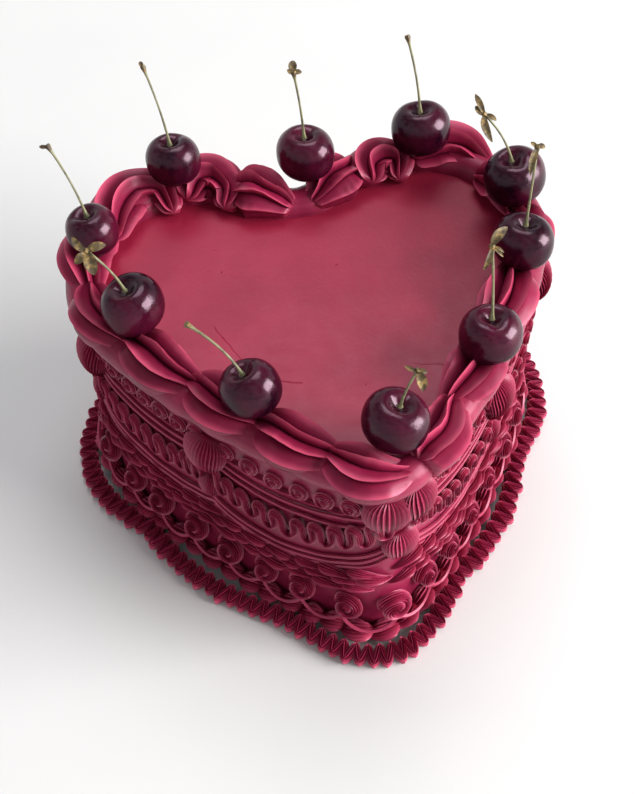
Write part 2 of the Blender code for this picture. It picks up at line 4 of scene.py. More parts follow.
import bpy
import numpy as np
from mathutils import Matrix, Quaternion, Vector, noise


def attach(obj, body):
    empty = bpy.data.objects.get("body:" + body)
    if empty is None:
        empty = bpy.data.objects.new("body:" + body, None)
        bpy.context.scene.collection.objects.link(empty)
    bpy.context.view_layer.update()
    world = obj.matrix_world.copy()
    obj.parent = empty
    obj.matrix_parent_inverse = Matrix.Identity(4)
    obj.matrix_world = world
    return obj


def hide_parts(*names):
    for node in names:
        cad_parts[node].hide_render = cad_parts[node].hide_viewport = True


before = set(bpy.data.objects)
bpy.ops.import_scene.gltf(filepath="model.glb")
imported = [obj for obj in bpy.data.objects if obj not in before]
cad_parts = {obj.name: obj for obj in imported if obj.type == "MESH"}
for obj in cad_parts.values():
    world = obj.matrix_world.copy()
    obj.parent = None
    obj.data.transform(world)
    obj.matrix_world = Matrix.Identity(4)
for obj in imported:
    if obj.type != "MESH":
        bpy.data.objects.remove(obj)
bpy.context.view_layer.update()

# Camera: it looks down on the cake from in front of its tip and a little to the left, through
# a short telephoto lens.
CAMERA_PLACE = (-0.0968, -0.3540, 0.5702)
CAMERA_AIM = (-0.0086, -0.0033, 0.0750)
CAMERA_ROLL = 0.0046
CAMERA_LENS = 58.94
SENSOR_WIDTH = 36
NEAREST_SEEN = 0.01

lens = bpy.data.cameras.new("camera")
lens.lens = CAMERA_LENS
lens.sensor_width = SENSOR_WIDTH
lens.clip_start = NEAREST_SEEN
camera = bpy.data.objects.new("camera", lens)
camera.location = CAMERA_PLACE
aim = Vector(CAMERA_AIM) - Vector(CAMERA_PLACE)
camera.rotation_mode = 'QUATERNION'
camera.rotation_quaternion = aim.to_track_quat('-Z', 'Y') @ Quaternion((0, 0, 1), CAMERA_ROLL)
bpy.context.scene.collection.objects.link(camera)
bpy.context.scene.camera = camera


# Iced heart: layers of sponge under a smooth coat of red buttercream, levelled with a palette
# knife that left a few scratches and pinholes on top. The outline is four arcs on each half.
LOBE_RADIUS = 0.0533
LOBE_X = 0.052
LOBE_TO_TIP = 0.1088
LOBE_Y = 0.03775
TIP_RADIUS = 0.020
SIDE_RADIUS = 0.312
NOTCH_RADIUS = 0.026
CAKE_HEIGHT = 0.129
EDGE_ROUNDING = 0.003
EDGE_ANGLES = (30, 60, 90)
COAT_COLUMNS = 320
COAT_RINGS = 36
COAT_ROWS = 22
TOP_WAVER = 0.00016
TOP_WAVER_SIZE = 0.034
TOP_SETTLING = 0.0003
WALL_WAVER = 0.0006
WALL_WAVER_SIZE = 0.030
RIDGE_ANGLE = math.radians(36)

# Three tones of an icing, from its deepest to its palest, where they lie in the mottling, and the
# tint of its shine. The piped icing has the coat's tones painted darker, as painted shade on the
# sides and decorations. Between the piping, below its top edge, the wall has the piped icing's
# tones as painted shade
COAT_TONES = ((0.270, 0.011, 0.037, 1), (0.305, 0.014, 0.044, 1), (0.340, 0.018, 0.052, 1))
COAT_SHEEN = (1.0, 0.60, 0.70, 1)
PIPED_PAINTED_SHADE_TONES = ((0.160, 0.006, 0.030, 1), (0.225, 0.010, 0.044, 1), (0.300, 0.018, 0.066, 1))
PIPED_SHEEN = (1.0, 0.62, 0.74, 1)
TONE_STOPS = (0.28, 0.5, 0.74)
ICING_ROUGHNESS = (0.28, 0.46)
PAINTED_SHADE_WALL_TOP = 0.1255

# How piped icing changes with its relief, where 0.5 is flat: from one relief to another, its
# creases go from dark to the full tone as painted shade, its crests take on a pale tone as a
# painted highlight, and its shine grows, dimmed in the creases along with the painted shade
CREASE_RELIEF = (0.40, 0.495)
CREASE_PAINTED_SHADE = (0.16, 1.0)
CREST_RELIEF = (0.51, 0.61)
CREST_PAINTED_HIGHLIGHT = (0.66, 0.085, 0.17, 1)
SHINE_RELIEF = (0.42, 0.56)
SHINE = (0.05, 0.60)

# Scratches of the palette knife on top: the two ends of each and half its width
KNIFE_MARKS = (
    ((-0.053, 0.006), (-0.044, -0.018), 0.00018),
    ((-0.031, -0.030), (-0.023, -0.033), 0.00026),
    ((-0.023, -0.033), (-0.010, -0.036), 0.00010),
    ((0.003, -0.043), (0.022, -0.040), 0.00015),
    ((0.026, -0.034), (0.040, -0.038), 0.00018),
    ((-0.026, 0.006), (0.008, 0.015), 0.00012),
    ((-0.040, 0.008), (-0.026, 0.006), 0.00008),
)
KNIFE_SWAY = (0.0025, 0.0025, 0.0)
PINHOLES_A_METRE = 75.0
PINHOLE_RADIUS = 0.0006
PINHOLE_TONE = 0.53
# How far the scratches and pinholes are darkened, as painted shade in them
DENT_PAINTED_SHADE = 0.55


def meeting_point(first, first_reach, second, second_reach):
    """Where two circles cross, on the -X side."""
    line = second - first
    gap = line.length
    reach = (first_reach ** 2 - second_reach ** 2 + gap ** 2) / (2 * gap)
    across = Vector((line.y, -line.x)) / gap
    if across.x > 0:
        across = -across
    return first + line * (reach / gap) + across * math.sqrt(first_reach ** 2 - reach ** 2)


def bearing(vector):
    return math.atan2(vector.y, vector.x)


def heart_arcs():
    """Arcs from notch to tip: centre, radius, first and last angle, and which way is out."""
    lobe = Vector((LOBE_X, LOBE_Y))
    tip = Vector((0.0, LOBE_Y - LOBE_TO_TIP))
    notch = Vector((0.0, LOBE_Y + math.sqrt((LOBE_RADIUS + NOTCH_RADIUS) ** 2 - LOBE_X ** 2)))
    side = meeting_point(lobe, SIDE_RADIUS - LOBE_RADIUS, tip, SIDE_RADIUS - TIP_RADIUS)
    down = -math.pi / 2
    lobe_end = bearing(lobe - side)
    side_end = bearing(tip - side)
    return (
        (notch, NOTCH_RADIUS, down, bearing(lobe - notch), -1),
        (lobe, LOBE_RADIUS, bearing(notch - lobe), lobe_end, 1),
        (side, SIDE_RADIUS, lobe_end, side_end, 1),
        (tip, TIP_RADIUS, side_end, down, 1),
    )


ARCS = heart_arcs()
HALF_LENGTH = sum(radius * abs(last - first) for centre, radius, first, last, facing in ARCS)
PERIMETER = 2 * HALF_LENGTH


def on_wall(along, out, z):
    """Points of a flat pattern bent round the wall: along it from the notch, out of it, up it."""
    along, out, z = np.broadcast_arrays(np.mod(along, PERIMETER), out, z)
    second_half = along > HALF_LENGTH
    rest = np.where(second_half, PERIMETER - along, along)
    x = np.zeros(rest.shape)
    y = np.zeros(rest.shape)
    start = 0.0
    for centre, radius, first, last, facing in ARCS:
        length = radius * abs(last - first)
        angle = first + (last - first) * np.clip((rest - start) / length, 0, 1)
        reach = radius + facing * out
        reached = rest >= start
        x = np.where(reached, centre.x + reach * np.cos(angle), x)
        y = np.where(reached, centre.y + reach * np.sin(angle), y)
        start += length
    return np.stack([np.where(second_half, -x, x), y, z], -1)


def waver(points, size, seed):
    """Smooth random values from -1 to 1, which change over that length."""
    return np.array([noise.noise(Vector(point) / size + Vector((seed, 0, 0))) for point in points])


def grid_faces(rings, around, closed=False):
    """Quads between rings of points, each ring a closed loop."""
    ring, spot = np.meshgrid(np.arange(rings if closed else rings - 1), np.arange(around),
                             indexing='ij')
    after = (ring + 1) % rings
    beside = (spot + 1) % around
    corners = (ring * around + spot, after * around + spot,
               after * around + beside, ring * around + beside)
    return np.stack(corners, -1).reshape(-1, 4)


def add_piece(name, points, faces, paints, slot, *nodes):
    """A piece that rides on the cake's one body and stands for those solids of the frame."""
    mesh = bpy.data.meshes.new(name)
    mesh.from_pydata(points.tolist(), [], faces)
    mesh.shade_smooth()
    mesh.set_sharp_from_angle(angle=RIDGE_ANGLE)
    for paint in paints:
        mesh.materials.append(paint)
    piece = bpy.data.objects.new(name, mesh)
    bpy.context.scene.collection.objects.link(piece)
    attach(piece, "root")
    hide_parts(*nodes)
    return piece


def blank_paint(name):
    """A material with its shader, and the piece's own coordinates in metres."""
    paint = bpy.data.materials.new(name)
    paint.use_nodes = True
    tree = paint.node_tree
    shader = tree.nodes["Principled BSDF"]
    return paint, tree, shader, tree.nodes.new('ShaderNodeTexCoord').outputs["Object"]


def fill(tree, made, **inputs):
    """Set a shader node's numbered or named inputs, or link them where a socket is given."""
    for key, value in inputs.items():
        socket = made.inputs[int(key[1:]) if key[1:].isdigit() else key.replace("_", " ")]
        if isinstance(value, bpy.types.NodeSocket):
            tree.links.new(value, socket)
        else:
            socket.default_value = value


def node(tree, kind, operation=None, **inputs):
    """A shader node with its inputs filled."""
    made = tree.nodes.new(kind)
    if operation:
        made.operation = operation
    fill(tree, made, **inputs)
    return made


def mottle(tree, place, scale, detail, roughness=0.5):
    """A soft random pattern from 0 to 1, finer where the scale is larger."""
    made = node(tree, 'ShaderNodeTexNoise', Vector=place, Scale=scale, Detail=detail,
                Roughness=roughness)
    return made.outputs["Fac"]


def ramp(tree, factor, stops, colours):
    """Colours in a row, each at its own stop of a pattern."""
    made = node(tree, 'ShaderNodeValToRGB', Fac=factor)
    elements = made.color_ramp.elements
    while len(elements) < len(stops):
        elements.new(0.5)
    for element, stop, colour in zip(elements, stops, colours):
        element.position = stop
        element.color = colour
    return made.outputs["Color"]


def mapped(tree, value, span, result):
    """A value carried over from one range to another, and held at its ends."""
    made = node(tree, 'ShaderNodeMapRange', Value=value, _1=span[0], _2=span[1], _3=result[0],
                _4=result[1])
    return made.outputs[0]


def blend(tree, share, first, second):
    """A colour between two, by that share of the second."""
    made = tree.nodes.new('ShaderNodeMix')
    made.data_type = 'RGBA'
    fill(tree, made, _0=share, _6=first, _7=second)
    return made.outputs[2]


def bumped(tree, height, strength, depth):
    """A surface raised by a pattern."""
    made = node(tree, 'ShaderNodeBump', Height=height, Strength=strength, Distance=depth)
    return made.outputs["Normal"]


def scratches(tree, place, marks):
    """How deep the knife's scratches are: 1 along their middles, 0 beside them."""
    sway = node(tree, 'ShaderNodeTexNoise', Vector=place, Scale=140.0, Detail=2.0)
    shift = node(tree, 'ShaderNodeVectorMath', 'SUBTRACT', _0=sway.outputs["Color"],
                 _1=(0.5, 0.5, 0.5))
    moved = node(tree, 'ShaderNodeVectorMath', 'MULTIPLY_ADD', _0=shift.outputs[0],
                 _1=KNIFE_SWAY, _2=place)
    cut = 0.0
    for start, end, width in marks:
        first = Vector((*start, CAKE_HEIGHT))
        line = Vector((*end, CAKE_HEIGHT)) - first
        away = node(tree, 'ShaderNodeVectorMath', 'SUBTRACT', _0=moved.outputs[0], _1=first)
        share = node(tree, 'ShaderNodeVectorMath', 'DOT_PRODUCT', _0=away.outputs[0],
                     _1=line / line.length_squared)
        kept = node(tree, 'ShaderNodeClamp', Value=share.outputs["Value"])
        foot = node(tree, 'ShaderNodeVectorMath', 'SCALE', _0=line, Scale=kept.outputs[0])
        apart = node(tree, 'ShaderNodeVectorMath', 'DISTANCE', _0=away.outputs[0],
                     _1=foot.outputs[0])
        depth = mapped(tree, apart.outputs["Value"], (0.0, width * 2), (1.0, 0.0))
        cut = node(tree, 'ShaderNodeMath', 'MAXIMUM', _0=cut, _1=depth).outputs[0]
    return cut


def pinholes(tree, place, tone):
    """How deep the burst bubbles are, which lie only where the icing is on the pale side."""
    bubbles = node(tree, 'ShaderNodeTexVoronoi', Vector=place, Scale=PINHOLES_A_METRE)
    depth = mapped(tree, bubbles.outputs["Distance"], (0.0, PINHOLE_RADIUS * PINHOLES_A_METRE),
                   (1.0, 0.0))
    few = node(tree, 'ShaderNodeMath', 'GREATER_THAN', _0=tone, _1=PINHOLE_TONE)
    return node(tree, 'ShaderNodeMath', 'MULTIPLY', _0=depth, _1=few.outputs[0]).outputs[0]


def buttercream(name, sheen, tones, marks=()):
    """Satin icing, uneven in tone and gloss: where it is smooth, knife marks and pinholes darkened
    as painted shade in them; else painted shade in its creases and a painted highlight on its
    crests.
    """
    paint, tree, shader, place = blank_paint(name)
    tone = mottle(tree, place, scale=38.0, detail=4.0, roughness=0.6)
    colour = ramp(tree, tone, TONE_STOPS, tones)
    gloss = mottle(tree, place, scale=160.0, detail=2.0)
    rough = mapped(tree, gloss, (0.0, 1.0), ICING_ROUGHNESS)
    grain = mottle(tree, place, scale=520.0, detail=4.0)
    bumps = bumped(tree, grain, strength=0.14, depth=0.0004)
    if marks:
        dents = node(tree, 'ShaderNodeMath', 'MAXIMUM', _0=scratches(tree, place, marks),
                     _1=pinholes(tree, place, tone)).outputs[0]
        # The dents are darkened towards the deepest tone, as painted shade in them
        shade = node(tree, 'ShaderNodeMath', 'MULTIPLY', _0=dents, _1=DENT_PAINTED_SHADE)
        colour = blend(tree, shade.outputs[0], colour, tones[0])
        dented = node(tree, 'ShaderNodeBump', Height=dents, Strength=0.8, Distance=0.0005,
                      Normal=bumps)
        dented.invert = True
        bumps = dented.outputs["Normal"]
    else:
        relief = node(tree, 'ShaderNodeNewGeometry').outputs["Pointiness"]
        # Painted shade darkens the creases, a painted highlight pales the crests, and the shine is
        # dimmed in the creases
        crease_painted_shade = mapped(tree, relief, CREASE_RELIEF, CREASE_PAINTED_SHADE)
        shaded = node(tree, 'ShaderNodeVectorMath', 'SCALE', _0=colour, Scale=crease_painted_shade)
        crest = mapped(tree, relief, CREST_RELIEF, (0.0, 1.0))
        colour = blend(tree, crest, shaded.outputs[0], CREST_PAINTED_HIGHLIGHT)
        fill(tree, shader, Specular_IOR_Level=mapped(tree, relief, SHINE_RELIEF, SHINE))
    fill(tree, shader, Base_Color=colour, Roughness=rough, Normal=bumps, Specular_Tint=sheen)
    return paint


def coat_surface():
    """The coat from the middle of the top out over the rounded edge and down the wall."""
    along = PERIMETER * np.arange(COAT_COLUMNS) / COAT_COLUMNS
    rim = on_wall(along, -EDGE_ROUNDING, CAKE_HEIGHT)
    middle = np.array((0.0, 0.0, CAKE_HEIGHT))
    rings = [middle + (rim - middle) * share for share in np.linspace(0.01, 1, COAT_RINGS)]
    for angle in np.radians(EDGE_ANGLES):
        rings.append(on_wall(along, EDGE_ROUNDING * (math.sin(angle) - 1),
                             CAKE_HEIGHT - EDGE_ROUNDING * (1 - math.cos(angle))))
    for z in np.linspace(CAKE_HEIGHT - EDGE_ROUNDING, 0, COAT_ROWS)[1:]:
        rings.append(on_wall(along, 0.0, z))
    return np.concatenate(rings)


coat_points = coat_surface()
level = coat_points[:, 2] / CAKE_HEIGHT
knifed = waver(coat_points, TOP_WAVER_SIZE, seed=3)
coat_points[:, 2] += level * (TOP_WAVER * knifed - TOP_SETTLING)
bulge = waver(coat_points, WALL_WAVER_SIZE, seed=11) * WALL_WAVER * (1 - level ** 8)
coat_points[:, :2] *= 1 + (bulge / np.linalg.norm(coat_points[:, :2], axis=1))[:, None]
coat_rings = len(coat_points) // COAT_COLUMNS
coat_faces = grid_faces(coat_rings, COAT_COLUMNS)[:, ::-1].tolist()
coat_faces.append(list(range(COAT_COLUMNS - 1, -1, -1)))
coat_faces.append(list(range(len(coat_points) - COAT_COLUMNS, len(coat_points))))
coat_icing = buttercream("buttercream_coat", COAT_SHEEN, COAT_TONES, KNIFE_MARKS)
piped_painted_light_icing = buttercream("buttercream_piped_painted_light", PIPED_SHEEN, PIPED_PAINTED_SHADE_TONES)
coat = add_piece("icing_coat", coat_points, coat_faces, [coat_icing, piped_painted_light_icing], "red_icing",
                 "iced_cake")
# Below the wall's top edge the faces take the darker piped icing, as painted shade between the
# piping
for face in coat.data.polygons:
    face.material_index = 1 if face.center.z < PAINTED_SHADE_WALL_TOP else 0


# Scrolls: a row of small curls of buttercream under the shell border, each piped through a fine
# star nozzle as a spiral with a tail that runs under the next one.
SCROLLS_A_SWAG = 7
SCROLL_FIRST = 0.75
SCROLL_MARGIN = 0.5
SCROLL_RADIUS = 0.0015
SCROLL_COIL = 0.0032
SCROLL_WIDENESS = 1.08
SCROLL_TALLNESS = 1.25
SCROLL_TURN = (-1.35, 8.6)
SCROLL_STEPS = 44
SCROLL_TAIL = ((-0.0112, 0.0006, -0.0030), (-0.0085, 0.0008, -0.0040),
               (-0.0056, 0.0006, -0.0046), (-0.0030, 0.0004, -0.0045))
OUTWARD = np.array((0.0, 1.0, 0.0))

# A nozzle: how many ridges it leaves, and the depth of its valleys as a share of their reach
SCROLL_NOZZLE = (10, 0.36)

# All round the wall the piping hangs in swags, which meet at these distances along it from the
# notch, one of them at the heart's tip
SWAG_ENDS = (0.0, 0.0782, 0.1541, 0.2291, 0.3073, 0.3988, 0.4755, 0.5505, PERIMETER)
SWAGS = len(SWAG_ENDS) - 1
TIP_SWAG = 4

# A band of piping: the height of its ends, its sag, and how much higher its end on the tip is
SCROLL_BAND = (0.1095, 0.0048, 0.0082)

# The hand that pipes it all, whose small slips are drawn in the order of the work
hand = random.Random(21)


def swag_place(swag):
    """How far along the wall a count of swags reaches."""
    return np.interp(swag, np.arange(SWAGS + 1), SWAG_ENDS)


def swag_at(along):
    """The count of swags that a distance along the wall has reached."""
    return np.interp(along, SWAG_ENDS, np.arange(SWAGS + 1))


def hung(swag, band):
    """Height of a band of piping at a count of swags."""
    end, sag, lift = band
    near_tip = np.clip(1 - np.abs(swag - TIP_SWAG), 0, 1)
    sag = sag + np.where(near_tip > 0, lift / 2, 0)
    return end + lift * near_tip - sag * np.abs(np.sin(math.pi * swag)) ** 0.75


def star(ridges, depth):
    """Section of a star nozzle: sharp ridges with valleys between them."""
    turn = np.arange(2 * ridges) * (math.pi / ridges)
    reach = np.tile((1.0, 1 - depth), ridges)
    return np.stack([reach * np.cos(turn), reach * np.sin(turn)], 1)


def stroke(path, radii, section, up, closed=False):
    """Icing pressed out along a path: points and faces, capped at both ends."""
    path = np.asarray(path, float)
    count = len(path)
    radii = np.broadcast_to(radii, (count,))
    if closed:
        heading = np.roll(path, -1, 0) - np.roll(path, 1, 0)
    else:
        heading = np.gradient(path, axis=0)
    heading /= np.linalg.norm(heading, axis=1)[:, None]
    normal = up - (heading @ up)[:, None] * heading
    normal /= np.linalg.norm(normal, axis=1)[:, None]
    side = np.cross(heading, normal)
    section = np.broadcast_to(section, (count, *section.shape[-2:]))
    rings = path[:, None] + radii[:, None, None] * (
        section[:, :, :1] * side[:, None] + section[:, :, 1:] * normal[:, None])
    around = section.shape[1]
    points = rings.reshape(-1, 3)
    faces = grid_faces(count, around, closed).tolist()
    if not closed:
        points = np.concatenate([points, path[:1], path[-1:]])
        last = (count - 1) * around
        for spot in range(around):
            beside = (spot + 1) % around
            faces.append([count * around, spot, beside])
            faces.append([count * around + 1, last + beside, last + spot])
    return points, faces


def joined(strokes):
    """Several strokes as one set of points and faces."""
    faces = []
    start = 0
    for points, own_faces in strokes:
        faces += [[corner + start for corner in face] for face in own_faces]
        start += len(points)
    return np.concatenate([points for points, own_faces in strokes]), faces


def add_piping(name, strokes, solid="iced_cake"):
    """Strokes of piped icing as one piece."""
    add_piece(name, *joined(strokes), [piped_painted_light_icing], "red_icing", solid)


def laid(piece, along, z, size=1.0, mirror=1, slip=0.0005, spread=0.05):
    """A flat piece set on the wall by hand: never quite the same place or size twice."""
    points, faces = piece
    along += hand.uniform(-slip, slip)
    z += hand.uniform(-slip, slip)
    points = points * size * hand.uniform(1 - spread, 1 + spread)
    bent = on_wall(along + mirror * points[:, 0], points[:, 1], z + points[:, 2])
    if mirror < 0:
        faces = [face[::-1] for face in faces]
    return bent, faces


def swelling(count, nose, tail, start=0.3, end=0.2):
    """Radii that grow over the first share of a stroke and shrink over the last one."""
    share = np.linspace(0, 1, count)
    grow = start + (1 - start) * np.sqrt(1 - (1 - np.clip(share / nose, 0, 1)) ** 2)
    fade = end + (1 - end) * np.sqrt(1 - (1 - np.clip((1 - share) / tail, 0, 1)) ** 2)
    return grow * fade


def scroll():
    """One curl: its tail comes along from the right, climbs over the top and coils inwards."""
    start, end = SCROLL_TURN
    turn = np.linspace(start, end, SCROLL_STEPS)
    reach = SCROLL_COIL * np.interp(turn, (start, 1.5, end), (1.05, 1.0, 0.08))
    out = np.interp(turn, (start, 2.0, 7.4), (0.0004, 0.0010, 0.0022))
    coil = np.stack([-reach * np.cos(turn) * SCROLL_WIDENESS, out,
                     SCROLL_TALLNESS * reach * np.sin(turn)], 1)
    path = np.concatenate([SCROLL_TAIL, coil])
    radii = SCROLL_RADIUS * swelling(len(path), nose=0.16, tail=0.10)
    return stroke(path, radii, star(*SCROLL_NOZZLE), OUTWARD)


scrolls = []
for swag in range(SWAGS):
    for index in range(SCROLLS_A_SWAG):
        place = swag + (index + SCROLL_FIRST) / (SCROLLS_A_SWAG + SCROLL_MARGIN)
        scrolls.append(laid(scroll(), swag_place(place), hung(place, SCROLL_BAND)))
add_piping("scrolls", scrolls)


# Strings: thin lines of icing let down against the wall in long swags from fan to fan. Two hang
# below the scrolls, and two and a thinner one below the garlands.
STRINGS = (
    ((0.0989, 0.0055, 0.0135), 0.0009),
    ((0.0942, 0.0070, 0.0120), 0.0009),
    ((0.0634, 0.0065, 0.0230), 0.0010),
    ((0.0588, 0.0065, 0.0230), 0.0010),
    ((0.0548, 0.0050, 0.0200), 0.0008),
)
STRING_NOZZLE = (6, 0.22)
STRING_STEPS = 40
STRING_WAVER = 0.0006
STRING_WAVER_SIZE = 0.010
STRING_SWELL = 0.10
UPWARD = np.array((0.0, 0.0, 1.0))


def swag_string(band, radius):
    """A string hung from swag end to swag end all the way round."""
    count = SWAGS * STRING_STEPS
    swag = np.arange(count) / STRING_STEPS
    along = swag_place(swag)
    spot = np.stack([np.cos(2 * math.pi * along / PERIMETER) * 0.1,
                     np.sin(2 * math.pi * along / PERIMETER) * 0.1, np.full(count, band[0])], 1)
    loose = waver(spot, STRING_WAVER_SIZE, seed=band[0] * 1000)
    path = on_wall(along, radius, hung(swag, band) + STRING_WAVER * loose)
    radii = radius * (1 + STRING_SWELL * loose)
    return stroke(path, radii, star(*STRING_NOZZLE), UPWARD, closed=True)


strings = [swag_string(*string) for string in STRINGS]
add_piping("strings", strings)


# Fans: a ridged shell of icing with a smaller one below it where two swags meet, and a pair side
# by side on the tip. A large star nozzle is pressed to the wall, then drawn down to a point.
FAN_TOP_Z = 0.1095
FAN_LIFT = 0.0090
FAN_RADIUS = 0.0112
FAN_LENGTH = 0.031
FAN_BULGE = 0.0035
FAN_FLATNESS = 0.60
FAN_NOZZLE = (34, 0.19)
FAN_STEPS = 30
TIP_FAN_OFFSET = 0.0065
TIP_FAN_SIZE = 0.86
LOWER_FAN_DROP = 0.95
LOWER_FAN_SIZE = 0.62
LOWER_TIP_FAN_SIZE = 0.78

# Widths of a stroke along it: how far along, and the share of its full radius there
FAN_WIDTHS = (
    (0, 0.30), (0.02, 0.58), (0.06, 0.80), (0.12, 0.95), (0.2, 1.0), (0.3, 0.97), (0.4, 0.88),
    (0.5, 0.76), (0.6, 0.63), (0.7, 0.50), (0.8, 0.37), (0.88, 0.28), (0.95, 0.20), (1.0, 0.10),
)


def fan():
    """One fan, its ridges rolled over at the top and gathered at the bottom."""
    share = np.linspace(0, 1, FAN_STEPS) ** 1.2
    width = np.interp(share, *zip(*FAN_WIDTHS))
    out = FAN_BULGE * np.sin(math.pi * np.clip(share * 1.4, 0, 1))
    path = np.stack([0 * share, out, -FAN_LENGTH * share], 1)
    section = star(*FAN_NOZZLE) * (1, FAN_FLATNESS)
    return stroke(path, FAN_RADIUS * width, section, OUTWARD)


fans = []
for swag in range(SWAGS):
    start = SWAG_ENDS[swag]
    top = FAN_TOP_Z
    lower_size = LOWER_FAN_SIZE
    if swag == TIP_SWAG:
        top += FAN_LIFT
        lower_size = LOWER_TIP_FAN_SIZE
        for mirror in (-1, 1):
            fans.append(laid(fan(), start + mirror * TIP_FAN_OFFSET, top, size=TIP_FAN_SIZE))
    else:
        fans.append(laid(fan(), start, top))
    fans.append(laid(fan(), start, top - FAN_LENGTH * LOWER_FAN_DROP, size=lower_size))
add_piping("fans", fans)


# Garlands: a zigzag of star-nozzle icing in each swag, between the upper and lower strings,
# its loops leaning on each other and drawn widest in the middle.
GARLAND_BAND = (0.0854, 0.0095, 0.0210)
GARLAND_LOOPS = 10
GARLAND_STEPS = 22
GARLAND_HALF = 0.0060
GARLAND_RADIUS = 0.0019
GARLAND_SHARE = 0.92
GARLAND_CROWDING = 0.03
GARLAND_CURL = 0.0009
GARLAND_LEAN = 0.0008
GARLAND_SLIP = 0.0008
GARLAND_OUT = 0.0018
GARLAND_LIFT = 0.0005
GARLAND_NOZZLE = (14, 0.34)


def unsteady(count):
    """How far the hand strays at each turn of a zigzag, from -1 to 1."""
    return [hand.uniform(-1, 1) for turn in range(count)]


def garland(swag):
    """One zigzag in a swag: round turns that swing over each other and are never quite alike."""
    count = GARLAND_LOOPS * GARLAND_STEPS + 1
    turn = np.linspace(0, GARLAND_LOOPS, count)
    whole = np.arange(GARLAND_LOOPS + 1)
    jitter = np.interp(turn, whole, unsteady(len(whole)))
    slack = np.interp(turn, whole, unsteady(len(whole)))
    loop = 2 * math.pi * turn
    share = turn / GARLAND_LOOPS
    crowded = share - 0.5 - GARLAND_CROWDING * np.sin(2 * math.pi * share)
    place = swag + 0.5 + GARLAND_SHARE * crowded
    x = (swag_place(place) + GARLAND_CURL * np.sin(2 * loop) + GARLAND_LEAN * np.cos(loop)
         + GARLAND_SLIP * jitter)
    out = GARLAND_OUT + GARLAND_LIFT * (1 - np.sin(loop)) + 0.0004 * slack
    z = hung(place, GARLAND_BAND) + GARLAND_HALF * (1 + 0.12 * slack) * np.cos(loop)
    radii = GARLAND_RADIUS * swelling(count, nose=0.02, tail=0.02) * (1 + 0.08 * jitter)
    points, faces = stroke(np.stack([x, out, z], 1), radii, star(*GARLAND_NOZZLE), OUTWARD)
    return on_wall(*points.T), faces


garlands = [garland(swag) for swag in range(SWAGS)]
add_piping("garlands", garlands)


# Tufts: rows of short shells of icing dragged sideways under the lower strings, which fill the
# wall down to the rosettes except round the tip.
TUFTS_A_SWAG = 7
TUFT_FIRST = 0.25
TUFT_RADIUS = 0.0034
TUFT_HEAD = 0.35
TUFT_OUT = 0.0004
TUFT_BULGE = 0.0016
TUFT_ARCH = 0.0016
TUFT_STEPS = 14
TUFT_NOZZLE = (14, 0.36)
TUFT_WIDTHS = ((0, 0.35), (0.08, 0.8), (0.25, 1.0), (0.6, 0.62), (1, 0.15))
BARE_BY_TIP = 0.07

# Each row's band, how far it is shifted against the others, and the length of its tufts
TUFT_ROWS = (
    ((0.0520, 0.0045, 0.0150), 0.0, 0.0165),
    ((0.0462, 0.0045, 0.0130), 0.6, 0.0140),
    ((0.0405, 0.0040, 0.0110), 0.2, 0.0150),
)


def tuft(length):
    """A small shell: a fat start, then a tail drawn out along the wall."""
    share = np.linspace(0, 1, TUFT_STEPS)
    x = length * (share - TUFT_HEAD)
    out = TUFT_OUT + TUFT_BULGE * np.sin(math.pi * share ** 0.7)
    z = TUFT_ARCH * np.sin(math.pi * share * 1.3)
    radii = TUFT_RADIUS * np.interp(share, *zip(*TUFT_WIDTHS))
    return stroke(np.stack([x, out, z], 1), radii, star(*TUFT_NOZZLE), OUTWARD)


tufts = []
for swag in range(SWAGS):
    for band, offset, length in TUFT_ROWS:
        for index in range(TUFTS_A_SWAG):
            place = swag + (index + offset + TUFT_FIRST) / TUFTS_A_SWAG
            if abs(place - TIP_SWAG) < BARE_BY_TIP:
                continue
            mirror = -1 if place < swag + 0.5 else 1
            tufts.append(laid(tuft(length), swag_place(place % SWAGS), hung(place, band),
                              mirror=mirror, slip=0.0008, spread=0.12))
add_piping("tufts", tufts)


# Rosettes: swirls of star-nozzle icing in a row low on the wall, wound inwards, lifted off at
# the middle and tipped up a little.
ROSETTES = 30
ROSETTE_START = 0.75
ROSETTE_Z = 0.0245
ROSETTE_COIL = 0.0052
ROSETTE_ROPE = 0.0033
ROSETTE_BASE = 0.0030
ROSETTE_REACH = 0.0042
ROSETTE_TILT = math.radians(20)
ROSETTE_TURN = 9.6
ROSETTE_STEPS = 50
ROSETTE_NOZZLE = (17, 0.36)
ROSETTE_WIDTHS = ((0, 0.4), (0.06, 1.0), (0.7, 0.86), (0.93, 0.55), (1, 0.15))


def rosette():
    """One swirl of about a turn and a half."""
    turn = np.linspace(0, ROSETTE_TURN, ROSETTE_STEPS)
    share = turn / turn[-1]
    reach = ROSETTE_COIL * (1 - share) ** 0.75
    out = ROSETTE_BASE + ROSETTE_REACH * share ** 1.3
    path = np.stack([reach * np.cos(turn), out, reach * np.sin(turn)], 1)
    radii = ROSETTE_ROPE * np.interp(share, *zip(*ROSETTE_WIDTHS))
    points, faces = stroke(path, radii, star(*ROSETTE_NOZZLE), OUTWARD)
    out = points[:, 1] * math.cos(ROSETTE_TILT) - points[:, 2] * math.sin(ROSETTE_TILT)
    rise = points[:, 2] * math.cos(ROSETTE_TILT) + points[:, 1] * math.sin(ROSETTE_TILT)
    return np.stack([points[:, 0], out, rise], 1), faces


rosettes = [laid(rosette(), PERIMETER * (count + ROSETTE_START) / ROSETTES, ROSETTE_Z,
                 slip=0.0014, spread=0.14) for count in range(ROSETTES)]
add_piping("rosettes", rosettes)


